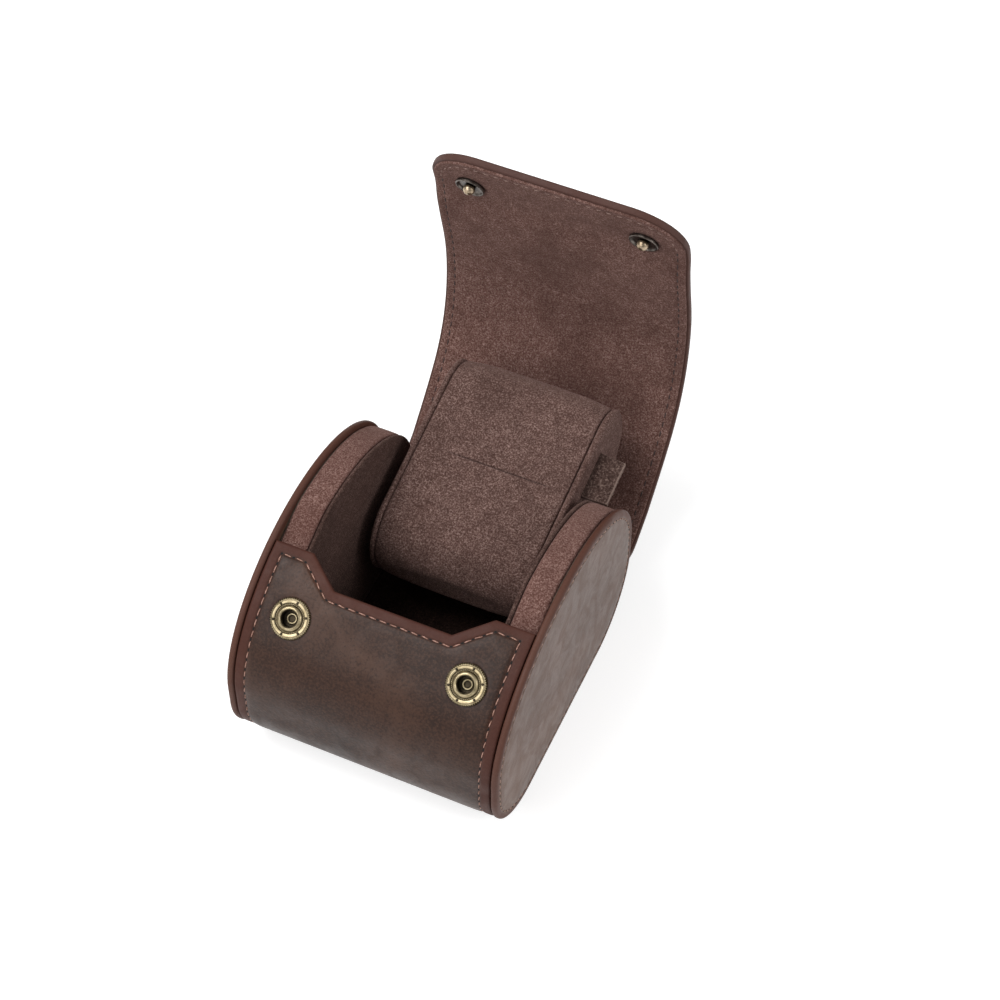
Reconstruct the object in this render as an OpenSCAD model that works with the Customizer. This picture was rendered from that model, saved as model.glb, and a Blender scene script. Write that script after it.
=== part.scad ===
// Single watch travel case: two oval leather ends, a leather strip that makes the front, the base
// and the folding flap, two pairs of snap fasteners and a loose suede cushion with a pull tab.
// X runs across the case, +Y to the back, +Z up. The origin is the middle of the base on the table.
// The case is drawn as it stands open: the flap turned back and the cushion slid out behind.

/* [Case] */
// Width over the two end panels
case_w = 88; // [74:1:110]
// Depth from front to back
case_d = 103; // [86:1:125]
// Height to the top of the end panels
case_h = 71; // [60:1:85]
// Radius of the two lower corners
corner_r = 25; // [20:1:27]
// Height of the arched top above its springing line
arch_h = 38; // [30:1:45]
// Thickness of the leather end panels
end_t = 2.4; // [1.8:0.1:3.5]

/* [Strip] */
// Outer leather of the strip
leather_t = 1.6; // [1.2:0.1:2.4]
// Stiffener inside the strip
board_t = 0.8; // [0.6:0.1:1.2]
// Suede lining of the strip
lining_t = 0.8; // [0.6:0.1:1.2]
// Gap beside the strip, to each end panel
groove = 0.2; // [0.1:0.05:0.6]
// Stiffener's setback from the leather's edges
board_margin = 1.4; // [0.8:0.1:2.5]
// Lining's setback from the flap leather's edges
lining_margin = 0.8; // [0.4:0.1:1.5]

/* [Front wall] */
// From the crown of the arch down to the front wall's edge
front_edge = 19; // [14:0.5:24]
// Depth of the finger notch in that edge
notch_depth = 8.4; // [5:0.2:11]
// Width of the notch at the edge
notch_top_w = 58; // [46:1:64]
// Width of the notch at its floor
notch_floor_w = 37.5; // [26:0.5:44]

/* [Flap] */
// How far up the back corner the base strip stays glued
glued_run = 22; // [16:0.5:26]
// From the springing of the arch to the shoulder fold
shoulder_run = 12; // [8:0.5:18]
// How far the crown fold lies in front of the crown
crown_run = 22; // [16:0.5:26]
// Length of the tongue past the snaps
tongue_over = 13.5; // [11:0.5:17]
// Radius of the tongue's two corners
tongue_r = 17; // [10:0.5:20]
// How much further off the wall the tongue's tip stands than its snaps
tip_rise = 2; // [0:0.1:3]
// Slit left between the flap's parts where the leather folds
fold_slit = 0.4; // [0.3:0.1:0.8]
// Running gap between the closed flap and what it covers
flap_gap = 0.45; // [0.35:0.05:0.8]

/* [Opening angles] */
// Turn of the whole flap at the base strip
flap_open = 57; // [46:1:59]
// Turn at the shoulder fold
shoulder_open = 25; // [12:1:28]
// Turn at the crown fold
tongue_open = 25; // [18:1:30]

/* [End plugs] */
// Width of a plug, from end panel to inner face
plug_w = 10.6; // [8:0.2:13]
// Suede skin round a plug
skin_t = 0.8; // [0.6:0.1:1.2]
// Suede-covered inner face of a plug
face_t = 1.3; // [1:0.1:2]
// Open seam between the skin and the inner face
seam_gap = 0.3; // [0.2:0.05:0.5]
// How far a plug stays inside the end panel where nothing covers it
plug_inset = 1.0; // [0.6:0.1:2]
// Thickness of the stiffener behind each end panel
end_board_t = 1.0; // [0.6:0.1:1.6]

/* [Snaps] */
// Distance from the middle of the case to each snap
snap_x = 28; // [24:0.5:32]
// From the front wall's edge down to the snaps
snap_drop = 20.6; // [17:0.2:24]
// Diameter of the socket's flange
socket_d = 12.5; // [11:0.1:14]
// Bore of the socket
socket_bore = 5.2; // [4.8:0.1:5.6]
// Thickness of the socket's flange
flange_t = 1.0; // [0.8:0.1:1.3]
// Diameter of the stud's ball
ball_d = 3.6; // [3:0.1:4]
// Diameter of the stud's dish
dish_d = 9.4; // [8:0.1:10]
// Diameter of the cap outside the tongue
cap_d = 12; // [10:0.2:13]
// Gap between the closed tongue and the front wall at the snaps
snap_lift = 2.5; // [2.4:0.1:3.2]

/* [Cushion] */
// Width of the wrapped pillow between its caps
pillow_w = 50; // [38:0.5:52]
// Front to back size of the pillow
pillow_l = 76; // [60:1:78]
// Height of the pillow
pillow_h = 40; // [32:1:42]
// Depth of its rounded underside, below its longest level
pillow_belly = 22; // [16:0.5:24]
// Radius of the pillow's upper corners
pillow_top_r = 15; // [8:1:16]
// How far the ends of the pillow draw in
draw_in = 1.3; // [0.5:0.1:2.5]
// Suede wrap round the pillow's core
wrap_t = 2.2; // [1.8:0.1:3]
// Thickness of the pillow's end caps
cap_t = 2.6; // [1.8:0.1:3.5]
// Room under the seated pillow for the watch's strap
seat_gap = 2.8; // [2:0.1:4]
// How far in front of the middle the seated pillow lies
cushion_home = 8; // [4:0.5:9]
// How far the slid cushion's middle lies inside the back of the case
slid_inside = 4.9; // [2:0.1:12]
// How far it has climbed on the flap
climbed = 8.4; // [6:0.1:14]
// Tip of the cushion, its back raised on the flap
cushion_tip = 12.5; // [8:0.5:14]

/* [Pull tab] */
// Width of the tab along the cushion
tab_w = 16; // [12:0.5:22]
// Length of the tab past the cap
tab_l = 9; // [6:0.5:11]
// Thickness of the tab
tab_t = 1.2; // [0.8:0.1:1.6]
// Height of the tab over the pillow's underside
tab_z = 32.5; // [24:0.5:34]
// Middle of the tab behind the pillow's middle
tab_back = 11; // [4:0.5:14]

/* [Hidden] */
$fn = 48;

leather_col = "#55433f";
suede_col = "#6f524c";
board_col = "#8a7d6c";
core_col = "#b9a788";
brass_col = "#a8925a";

half_d = case_d / 2;
spring_z = case_h - arch_h;
strip_t = leather_t + board_t + lining_t;
panel_x = case_w / 2 - end_t;
strip_x = panel_x - groove;
face_x = panel_x - plug_w;
far = 200;

// A place on the end panel's outline is one number. From -91 to -1 it climbs the back corner, from
// -1 to 0 the upright part, from 0 to 180 it is the angle over the arch, from 180 to 181 the upright
// part in front, from 181 to 271 the front corner, and from 271 to 272 it runs back along the base.
BASE_END = 272;
KNOTS = concat([for (p = [-91:3.75:-1]) p], [for (p = [0:3:180]) p],
               [for (p = [181:3.75:271]) p], [BASE_END]);

function unit(v) = v / norm(v);

// Point and outward normal on the outline, as [y, z, ny, nz]
function place(p) =
    p < -1 ? corner(p + 91, 1) :
    p < 0 ? [half_d, corner_r + (p + 1) * (spring_z - corner_r), 1, 0] :
    p <= 180 ? arch(p) :
    p < 181 ? [-half_d, spring_z - (p - 180) * (spring_z - corner_r), -1, 0] :
    p <= 271 ? corner(271 - p, -1) :
    [(half_d - corner_r) * (2 * (p - 271) - 1), 0, 0, -1];

function corner(c, side) =
    [side * (half_d - corner_r * (1 - sin(c))), corner_r * (1 - cos(c)), side * sin(c), -cos(c)];

function arch(t) =
    let (n = unit([cos(t) / half_d, sin(t) / arch_h]))
    [half_d * cos(t), spring_z + arch_h * sin(t), n.x, n.y];

// Point at a distance outside the outline
function beside(p, off) = let (s = place(p)) [s[0] + s[2] * off, s[1] + s[3] * off];

// Angle over the arch that lies a length further on than angle t
function along(t, len, step = 0.25) =
    len <= 0 ? t : along(t + step, len - step * PI / 180 * norm([half_d * sin(t), arch_h * cos(t)]));

function smooth(a, b, x) = let (t = min(1, max(0, (x - a) / (b - a)))) t * t * (3 - 2 * t);

P_HINGE = glued_run / corner_r * 180 / PI - 91;
P_SHOULDER = along(0, shoulder_run);
P_CROWN = along(90, crown_run);
P_EDGE = along(90, front_edge);
P_NOTCH = along(90, front_edge + notch_depth);
P_SNAP = along(90, front_edge + snap_drop);
P_TIP = along(90, front_edge + snap_drop + tongue_over);

// How far the plugs stay inside the outline: a full strip deep where the strip covers them
function plug_depth(p) =
    p < 60 ? strip_t + (plug_inset - strip_t) * smooth(P_HINGE, 6, p) :
    plug_inset + (strip_t - plug_inset) * smooth(93, P_EDGE, p);

// Inner surface of the closed flap: over the plugs, then up over the front wall and its snaps
LIFT_EDGE = 0.7;
function flap_inner(p) =
    p < 60 ? flap_gap - plug_depth(p) :
    flap_gap - plug_inset + (LIFT_EDGE + plug_inset - flap_gap) * smooth(78, P_EDGE - 1, p)
    + (snap_lift - LIFT_EDGE) * smooth(P_EDGE, P_SNAP - 9, p)
    + tip_rise * pow(max(0, (p - P_SNAP) / (P_TIP - P_SNAP)), 2);

function stretch(p0, p1) =
    concat([p0], [for (p = KNOTS) if (p > p0 + 0.4 && p < p1 - 0.4) p], [p1]);

// Closed outline of a layer between places p0 and p1, from inner to outer offset
function base_ribbon(p0, p1, inner, outer) =
    let (s = stretch(p0, p1), n = len(s) - 1)
    concat([for (p = s) beside(p, outer)], [for (i = [n:-1:0]) beside(s[i], inner)]);

function flap_ribbon(p0, p1, inner, outer) =
    let (s = stretch(p0, p1), n = len(s) - 1)
    concat([for (p = s) beside(p, flap_inner(p) + outer)],
           [for (i = [n:-1:0]) beside(s[i], flap_inner(s[i]) + inner)]);

function whole_outline(off) = [for (p = KNOTS) beside(p, off)];

function plug_outline(in) = [for (p = KNOTS) beside(p, -plug_depth(p) - in)];

// Prism of an outline in the Y-Z plane, between two places across the case
module slab(outline, x0, x1) {
    translate([x0, 0, 0]) rotate([90, 0, 90]) linear_extrude(x1 - x0) polygon(outline);
}

// Puts a piece drawn on the right end at the left or the right
module at_end(side) {
    if (side < 0) mirror([1, 0, 0]) children();
    else children();
}

// Local frame on the outline: z out of the surface, y up along it, x across the case
module on_outline(p, x = 0) {
    s = place(p);
    translate([x, s[0], s[1]]) rotate([atan2(-s[2], s[3]), 0, 0]) children();
}

module turned(pivot, angle) {
    translate([0, pivot.x, pivot.y]) rotate([angle, 0, 0]) translate([0, -pivot.x, -pivot.y]) children();
}

// The flap's folds bend at its outer leather
function fold_at(p) = beside(p, flap_inner(p) + strip_t);

module open_back() turned(fold_at(P_HINGE), -flap_open) children();
module open_crown() open_back() turned(fold_at(P_SHOULDER), -shoulder_open) children();
module open_tongue() open_crown() turned(fold_at(P_CROWN), -tongue_open) children();

// Half a slit, as a step in place numbers
function slit(p) = fold_slit / 2 / (p < 0 ? corner_r : norm([half_d * sin(p), arch_h * cos(p)])) * 180 / PI;

// Front wall, base and back corner

module notch_cut(margin) {
    floor_y = -notch_depth - margin;
    top_x = notch_top_w / 2 + margin;
    floor_x = notch_floor_w / 2 + margin;
    on_outline(P_EDGE) translate([0, 0, -8]) linear_extrude(16)
        polygon([[-top_x, 0.01], [-floor_x, floor_y], [floor_x, floor_y], [top_x, 0.01],
                 [top_x, 6], [-top_x, 6]]);
}

module front_hole(r, x_side) {
    on_outline(P_SNAP, x_side * snap_x) translate([0, 0, -strip_t - 0.4]) cylinder(r = r, h = strip_t + 3);
}

module base_strip(inner, outer, half_w, margin, hole_r) {
    edge = P_EDGE + margin * 1.3;
    difference() {
        union() {
            slab(base_ribbon(edge, BASE_END, inner, outer), -half_w, half_w);
            slab(base_ribbon(-91, P_HINGE, inner, outer), -half_w, half_w);
        }
        notch_cut(margin);
        if (hole_r > 0) for (side = [-1, 1]) front_hole(hole_r, side);
    }
}

barrel_r = socket_bore / 2 + 0.4;
post_flange_r = 4.2;

module base_leather() {
    color(leather_col) base_strip(-leather_t, 0, strip_x, 0, barrel_r + 0.1);
}

module base_board() {
    color(board_col)
        base_strip(-leather_t - board_t, -leather_t, strip_x - board_margin, board_margin,
                   post_flange_r + 0.2);
}

module base_lining() {
    color(suede_col) base_strip(-strip_t, -leather_t - board_t, strip_x, 0, 0);
}

// End panels and plugs

module end_leather(side) {
    color(leather_col) at_end(side) slab(whole_outline(0), panel_x, case_w / 2);
}

module end_board(side) {
    color(board_col) at_end(side) slab(plug_outline(skin_t), panel_x - end_board_t, panel_x);
}

module plug_core(side) {
    color(core_col) at_end(side) slab(plug_outline(skin_t), face_x + face_t, panel_x - end_board_t);
}

module plug_skin(side) {
    x0 = face_x + face_t + seam_gap;
    color(suede_col) at_end(side) difference() {
        slab(plug_outline(0), x0, panel_x);
        slab(plug_outline(skin_t), x0 - 1, panel_x + 1);
    }
}

module plug_face(side) {
    color(suede_col) at_end(side) slab(plug_outline(0), face_x, face_x + face_t);
}

// Sockets in the front wall

ring_r = socket_bore / 2 + 0.65;
ring_h = 0.6;
post_r = 1.5;
post_top = -1.3;
wire_r = 0.25;

module socket_piece(side) {
    color(brass_col) on_outline(P_SNAP, side * snap_x) difference() {
        union() {
            translate([0, 0, 0.02]) cylinder(d = socket_d, h = flange_t - 0.02);
            cylinder(r = ring_r, h = flange_t + ring_h);
            translate([0, 0, -leather_t]) cylinder(r = barrel_r, h = leather_t + 0.1);
        }
        translate([0, 0, -leather_t - 1]) cylinder(d = socket_bore, h = leather_t + flange_t + 3);
    }
}

module socket_post(side) {
    flange_z = -leather_t - board_t + 0.05;
    color(brass_col) on_outline(P_SNAP, side * snap_x) difference() {
        union() {
            translate([0, 0, flange_z]) cylinder(r = post_flange_r, h = 0.45);
            translate([0, 0, flange_z]) cylinder(r = post_r, h = post_top - flange_z);
        }
        translate([0, 0, flange_z + 0.25]) cylinder(r = post_r - 0.6, h = 3);
    }
}

// A split ring of wire near the mouth of the bore, which grips the ball
module socket_spring(side) {
    color(brass_col) on_outline(P_SNAP, side * snap_x)
        translate([0, 0, 0.1]) rotate_extrude(angle = 310)
            translate([socket_bore / 2 - wire_r - 0.01, 0]) circle(r = wire_r, $fn = 16);
}

// Flap: leather, stiffener and lining in three parts that fold on each other

module tip_corner_cut(half_w, r, margin) {
    run = norm(beside(P_TIP, flap_inner(P_TIP)) - beside(P_SNAP, flap_inner(P_SNAP)));
    for (side = [-1, 1])
        on_outline(P_SNAP, 0) translate([side * (half_w - r), -run + margin + r, -14])
            difference() {
                translate([side > 0 ? 0 : -r - 4, -r - 8, 0]) cube([r + 4, r + 8, 28]);
                translate([0, 0, -1]) cylinder(r = r, h = 30, $fn = 72);
            }
}

module flap_hole(x_side) {
    on_outline(P_SNAP, x_side * snap_x) translate([0, 0, -2]) cylinder(r = rivet_r + 0.1, h = 14);
}

module flap_part(p0, p1, inner, outer, margin) {
    end = p1 == P_TIP ? p1 - margin * 1.3 : p1 - slit(p1);
    slab(flap_ribbon(p0 + slit(p0), end, inner, outer), -strip_x + margin, strip_x - margin);
}

module tongue_part(inner, outer, margin) {
    difference() {
        flap_part(P_CROWN, P_TIP, inner, outer, margin);
        tip_corner_cut(strip_x - margin, tongue_r - margin, margin);
        for (side = [-1, 1]) flap_hole(side);
    }
}

LEATHER_IN = board_t + lining_t;
module back_leather() { color(leather_col) open_back() flap_part(P_HINGE, P_SHOULDER, LEATHER_IN, strip_t, 0); }
module back_board() {
    color(board_col) open_back() flap_part(P_HINGE, P_SHOULDER, lining_t, LEATHER_IN, board_margin);
}
module back_lining() {
    color(suede_col) open_back() flap_part(P_HINGE, P_SHOULDER, 0, lining_t, lining_margin);
}
module crown_leather() {
    color(leather_col) open_crown() flap_part(P_SHOULDER, P_CROWN, LEATHER_IN, strip_t, 0);
}
module crown_board() {
    color(board_col) open_crown() flap_part(P_SHOULDER, P_CROWN, lining_t, LEATHER_IN, board_margin);
}
module crown_lining() {
    color(suede_col) open_crown() flap_part(P_SHOULDER, P_CROWN, 0, lining_t, lining_margin);
}
module tongue_leather() { color(leather_col) open_tongue() tongue_part(LEATHER_IN, strip_t, 0); }
module tongue_board() { color(board_col) open_tongue() tongue_part(lining_t, LEATHER_IN, board_margin); }
module tongue_lining() { color(suede_col) open_tongue() tongue_part(0, lining_t, lining_margin); }

// Studs and their caps on the tongue

rivet_r = 1.2;
stud_seat = snap_lift - 0.27;
dish_floor = 0.35;
rim_drop = 1.0;

module stud(side) {
    ball_z = flange_t + 0.05;
    color(brass_col) open_tongue() on_outline(P_SNAP, side * snap_x) {
        difference() {
            translate([0, 0, stud_seat - rim_drop]) cylinder(d = dish_d, h = rim_drop);
            translate([0, 0, stud_seat - rim_drop - 1]) cylinder(d = dish_d - 1, h = rim_drop + 1 - dish_floor);
        }
        difference() {
            translate([0, 0, ball_z]) sphere(d = ball_d);
            translate([0, 0, stud_seat - dish_floor / 2]) cylinder(d = ball_d, h = ball_d);
        }
    }
}

module stud_cap(side) {
    top = snap_lift + strip_t + 0.02;
    color(brass_col) open_tongue() on_outline(P_SNAP, side * snap_x) {
        translate([0, 0, top]) cylinder(d = cap_d, h = 0.5);
        translate([0, 0, top + 0.5]) cylinder(d1 = cap_d, d2 = cap_d * 0.6, h = 0.7);
        translate([0, 0, stud_seat]) cylinder(r = rivet_r, h = top - stud_seat + 0.1);
    }
}

// Cushion: drawn seated and level, then slid back and tipped along one arc

pillow_top = pillow_h - pillow_belly;
seat_z = strip_t + seat_gap + pillow_belly;
slid_back = half_d - slid_inside + cushion_home;
rock_reach = 0.5 / tan(cushion_tip / 2);
rock_y = slid_back / 2 - cushion_home - climbed * rock_reach;
rock_z = seat_z + climbed / 2 + slid_back * rock_reach;
CORNER_STEPS = 8;
BELLY_STEPS = 18;

function round_corner(cy, cz, r, a0) =
    [for (i = [0:CORNER_STEPS]) let (a = a0 + 90 * i / CORNER_STEPS) [cy + r * cos(a), cz + r * sin(a)]];

// Section of the pillow, drawn in by a distance, with a shallow groove where its seam crosses the top
function pillow_section(in) =
    let (l = pillow_l / 2 - in, h = pillow_top - in, b = pillow_belly - in, r = pillow_top_r - in)
    concat(round_corner(l - r, h - r, r, 0),
           [[1.2, h], [0, h - 0.5], [-1.2, h]],
           round_corner(r - l, h - r, r, 90),
           [for (i = [0:BELLY_STEPS]) let (a = 180 + 180 * i / BELLY_STEPS) [l * cos(a), b * sin(a)]]);

module slid() {
    turned([rock_y, rock_z], cushion_tip) translate([0, -cushion_home, seat_z]) children();
}

// Rings of the wrap as [x, how far drawn in]: out over the pillow, then back along its core
RINGS = 8;
WRAP = concat([for (i = [0:RINGS]) let (c = -cos(180 * i / RINGS)) [c * pillow_w / 2, draw_in * pow(c, 4)]],
              [[pillow_w / 2, draw_in + wrap_t], [-pillow_w / 2, draw_in + wrap_t]]);

// Closed tube through sections that draw in towards both ends
module wrap_tube() {
    sides = len(pillow_section(0));
    n = len(WRAP);
    points = [for (r = WRAP) for (q = pillow_section(r[1])) [r[0], q.x, q.y]];
    walls = [for (i = [0:n - 1]) for (j = [0:sides - 1])
             let (a = i * sides + j, b = i * sides + (j + 1) % sides,
                  c = (i + 1) % n * sides + j, d = (i + 1) % n * sides + (j + 1) % sides)
             each [[a, d, b], [a, c, d]]];
    polyhedron(points, walls);
}

module cushion_core() {
    color(core_col) slid() slab(pillow_section(draw_in + wrap_t), -pillow_w / 2, pillow_w / 2);
}

module cushion_wrap() {
    color(suede_col) slid() wrap_tube();
}

module cushion_cap(side) {
    x0 = pillow_w / 2 + 0.1;
    color(suede_col) slid() at_end(side) slab(pillow_section(draw_in - 0.3), x0, x0 + cap_t);
}

module pull_tab() {
    x0 = pillow_w / 2 + 0.1 + cap_t + 0.3;
    z0 = tab_z - pillow_belly;
    color(suede_col) slid() translate([x0, tab_back - tab_w / 2, z0 - tab_t / 2]) cube([tab_l, tab_w, tab_t]);
}

base_leather();
base_board();
base_lining();
end_leather(-1);  // left_end_leather
end_leather(1);  // right_end_leather
end_board(-1);  // left_end_board
end_board(1);  // right_end_board
plug_core(-1);  // left_plug_core
plug_core(1);  // right_plug_core
plug_skin(-1);  // left_plug_skin
plug_skin(1);  // right_plug_skin
plug_face(-1);  // left_plug_face
plug_face(1);  // right_plug_face
socket_piece(-1);  // left_socket
socket_piece(1);  // right_socket
socket_post(-1);  // left_socket_post
socket_post(1);  // right_socket_post
socket_spring(-1);  // left_socket_spring
socket_spring(1);  // right_socket_spring
back_leather();
back_board();
back_lining();
crown_leather();
crown_board();
crown_lining();
tongue_leather();
tongue_board();
tongue_lining();
stud(-1);  // left_stud
stud(1);  // right_stud
stud_cap(-1);  // left_stud_cap
stud_cap(1);  // right_stud_cap
cushion_core();
cushion_wrap();
cushion_cap(-1);  // left_cushion_cap
cushion_cap(1);  // right_cushion_cap
pull_tab();
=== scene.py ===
# Watch travel case: looks of the leather strip, its ends, the folding flap, the snaps and the cushion.
# Lengths are in millimetres until a mesh is finished, and its points are then turned to metres.
import math

import bpy
import numpy as np
from mathutils import Matrix, Vector


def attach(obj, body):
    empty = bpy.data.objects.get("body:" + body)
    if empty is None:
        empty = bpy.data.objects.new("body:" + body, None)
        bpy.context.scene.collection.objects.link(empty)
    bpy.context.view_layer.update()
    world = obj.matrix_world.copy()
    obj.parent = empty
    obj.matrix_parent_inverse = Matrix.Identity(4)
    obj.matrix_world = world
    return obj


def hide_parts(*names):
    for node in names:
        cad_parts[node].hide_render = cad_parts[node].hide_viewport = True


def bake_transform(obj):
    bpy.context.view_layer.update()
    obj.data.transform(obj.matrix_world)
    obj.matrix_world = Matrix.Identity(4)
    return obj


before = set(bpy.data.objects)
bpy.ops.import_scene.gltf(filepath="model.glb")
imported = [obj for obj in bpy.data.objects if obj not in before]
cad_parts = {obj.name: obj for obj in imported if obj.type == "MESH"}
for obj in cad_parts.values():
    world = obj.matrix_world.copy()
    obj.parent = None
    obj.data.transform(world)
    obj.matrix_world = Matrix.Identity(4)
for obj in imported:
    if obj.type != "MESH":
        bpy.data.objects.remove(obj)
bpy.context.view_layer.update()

# ---------------------------------------------------------------- sizes of the case, in mm
CASE_W, CASE_D, CASE_H = 88.0, 103.0, 71.0
CORNER_R, ARCH_H = 25.0, 38.0
END_T, LEATHER_T, BOARD_T, LINING_T = 2.4, 1.6, 0.8, 0.8
GROOVE = 0.2
FRONT_EDGE, NOTCH_DEPTH, NOTCH_TOP, NOTCH_FLOOR = 19.0, 8.4, 58.0, 37.5
GLUED_RUN, SHOULDER_RUN, CROWN_RUN = 22.0, 12.0, 22.0
SNAP_DROP, TONGUE_OVER, TONGUE_R, TIP_RISE = 20.6, 13.5, 17.0, 2.0
FLAP_GAP, SNAP_LIFT, EDGE_LIFT = 0.45, 2.5, 0.7
OPEN = (57.0, 25.0, 25.0)
PLUG_W, PLUG_INSET = 10.6, 1.0
SNAP_X = 28.0
PILLOW_W, PILLOW_L, PILLOW_H, PILLOW_BELLY, PILLOW_TOP_R = 50.0, 76.0, 40.0, 22.0, 15.0
SEAT_GAP, CUSHION_HOME, SLID_BACK, CLIMBED, CUSHION_TIP = 2.8, 8.0, 54.6, 8.4, 12.5
TAB_W, TAB_L, TAB_T, TAB_Z, TAB_BACK = 16.0, 9.0, 1.2, 32.5, 11.0

HALF_D = CASE_D / 2
SPRING_Z = CASE_H - ARCH_H
STRIP_T = LEATHER_T + BOARD_T + LINING_T
PANEL_X = CASE_W / 2 - END_T
STRIP_X = PANEL_X - GROOVE
FACE_X = PANEL_X - PLUG_W


# ---------------------------------------------------------------- outline of the case
def place(p):
    """Point and outward normal of the end panels' outline at place number p, as y, z, ny, nz."""
    p = np.asarray(p, float)
    back = np.radians(np.clip(p, -91, -1) + 91)
    front = np.radians(271 - np.clip(p, 181, 271))
    arch = np.radians(np.clip(p, 0, 180))
    ny, nz = np.cos(arch) / HALF_D, np.sin(arch) / ARCH_H
    length = np.hypot(ny, nz)
    rows = [
        (p < -1, HALF_D - CORNER_R * (1 - np.sin(back)), CORNER_R * (1 - np.cos(back)), np.sin(back), -np.cos(back)),
        (p < 0, HALF_D, CORNER_R + (p + 1) * (SPRING_Z - CORNER_R), 1.0, 0.0),
        (p <= 180, HALF_D * np.cos(arch), SPRING_Z + ARCH_H * np.sin(arch), ny / length, nz / length),
        (p < 181, -HALF_D, SPRING_Z - (p - 180) * (SPRING_Z - CORNER_R), -1.0, 0.0),
        (p <= 271, CORNER_R * (1 - np.sin(front)) - HALF_D, CORNER_R * (1 - np.cos(front)), -np.sin(front),
         -np.cos(front)),
        (p <= 999, (HALF_D - CORNER_R) * (2 * (p - 271) - 1), 0.0, 0.0, -1.0),
    ]
    picks = [r[0] for r in rows]
    return [np.select(picks, [np.broadcast_to(r[k], p.shape) for r in rows]) for k in (1, 2, 3, 4)]


def beside(p, off):
    """Point off to the outer side of the outline at place p."""
    y, z, ny, nz = place(p)
    return y + ny * off, z + nz * off


def along(t, length):
    """Angle over the arch that lies a length further on than angle t."""
    while length > 0:
        length -= math.radians(0.25) * math.hypot(HALF_D * math.sin(math.radians(t)),
                                                  ARCH_H * math.cos(math.radians(t)))
        t += 0.25
    return t


def smooth(a, b, x):
    """0 before a, 1 after b, and an even rise between them."""
    t = np.clip((np.asarray(x, float) - a) / (b - a), 0, 1)
    return t * t * (3 - 2 * t)


P_HINGE = math.degrees(GLUED_RUN / CORNER_R) - 91
P_SHOULDER = along(0, SHOULDER_RUN)
P_CROWN = along(90, CROWN_RUN)
P_EDGE = along(90, FRONT_EDGE)
P_SNAP = along(90, FRONT_EDGE + SNAP_DROP)
P_TIP = along(90, FRONT_EDGE + SNAP_DROP + TONGUE_OVER)


def plug_depth(p):
    """How far the plugs' suede lies inside the end panels' outline."""
    p = np.asarray(p, float)
    back = STRIP_T + (PLUG_INSET - STRIP_T) * smooth(P_HINGE, 6, p)
    front = PLUG_INSET + (STRIP_T - PLUG_INSET) * smooth(93, P_EDGE, p)
    return np.where(p < 60, back, front)


def flap_inner(p):
    """The flap's inner face as the CAD part has it, above the end panels' outline."""
    p = np.asarray(p, float)
    over = FLAP_GAP - PLUG_INSET + (EDGE_LIFT + PLUG_INSET - FLAP_GAP) * smooth(78, P_EDGE - 1, p)
    over = over + (SNAP_LIFT - EDGE_LIFT) * smooth(P_EDGE, P_SNAP - 9, p)
    over = over + TIP_RISE * np.clip((p - P_SNAP) / (P_TIP - P_SNAP), 0, None) ** 2
    return np.where(p < 60, FLAP_GAP - plug_depth(p), over)


def worn_inner(p):
    """The flap's inner face as used leather lies: one soft rise from the crown over the rim to the snaps."""
    p = np.asarray(p, float)
    over = FLAP_GAP - PLUG_INSET + (SNAP_LIFT + PLUG_INSET - FLAP_GAP) * smooth(74, P_SNAP - 5, p)
    over = over + TIP_RISE * np.clip((p - P_SNAP) / (P_TIP - P_SNAP), 0, None) ** 2
    return np.where(p < 60, FLAP_GAP - plug_depth(p), over)


# ---------------------------------------------------------------- the strip, from the front edge to the tongue's tip
# s runs along the strip and h from its inner face, 0, to its outer face, STRIP_T
def measure(p, off):
    """Length run along the outline's offset line, from its first place to each of the others."""
    y, z = beside(p, off)
    return np.concatenate([[0], np.cumsum(np.hypot(np.diff(y), np.diff(z)))])


base_p = np.concatenate([np.linspace(P_EDGE, 180, 500), np.linspace(180.01, 181, 30), np.linspace(181.1, 271, 400),
                         np.linspace(271.01, 272, 60)])
base_s = measure(base_p, -STRIP_T / 2)
back_p = np.linspace(-91, P_HINGE, 200)
back_s = base_s[-1] + measure(back_p, -STRIP_T / 2)
flap_p = np.concatenate([np.linspace(P_HINGE, -1, 300), np.linspace(-0.99, 0, 30), np.linspace(0.1, P_TIP, 900)])
flap_s = back_s[-1] + measure(flap_p, worn_inner(flap_p) + STRIP_T / 2)
S_HINGE, S_TIP = float(back_s[-1]), float(flap_s[-1])
S_SHOULDER = float(np.interp(P_SHOULDER, flap_p, flap_s))
S_CROWN = float(np.interp(P_CROWN, flap_p, flap_s))
S_SNAP = float(np.interp(P_SNAP, flap_p, flap_s))
BASE_TURN = base_s[-1]

PIVOT = [beside(p, flap_inner(p) + STRIP_T) for p in (P_HINGE, P_SHOULDER, P_CROWN)]
FOLDS = [(S_HINGE - 2, S_HINGE + 15), (S_SHOULDER - 11, S_SHOULDER + 13), (S_CROWN - 16, S_CROWN + 12)]


def turn(y, z, pivot, degrees):
    """Points turned about a pivot in the y-z plane."""
    a = np.radians(degrees)
    dy, dz = y - pivot[0], z - pivot[1]
    return pivot[0] + dy * np.cos(a) - dz * np.sin(a), pivot[1] + dy * np.sin(a) + dz * np.cos(a)


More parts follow.
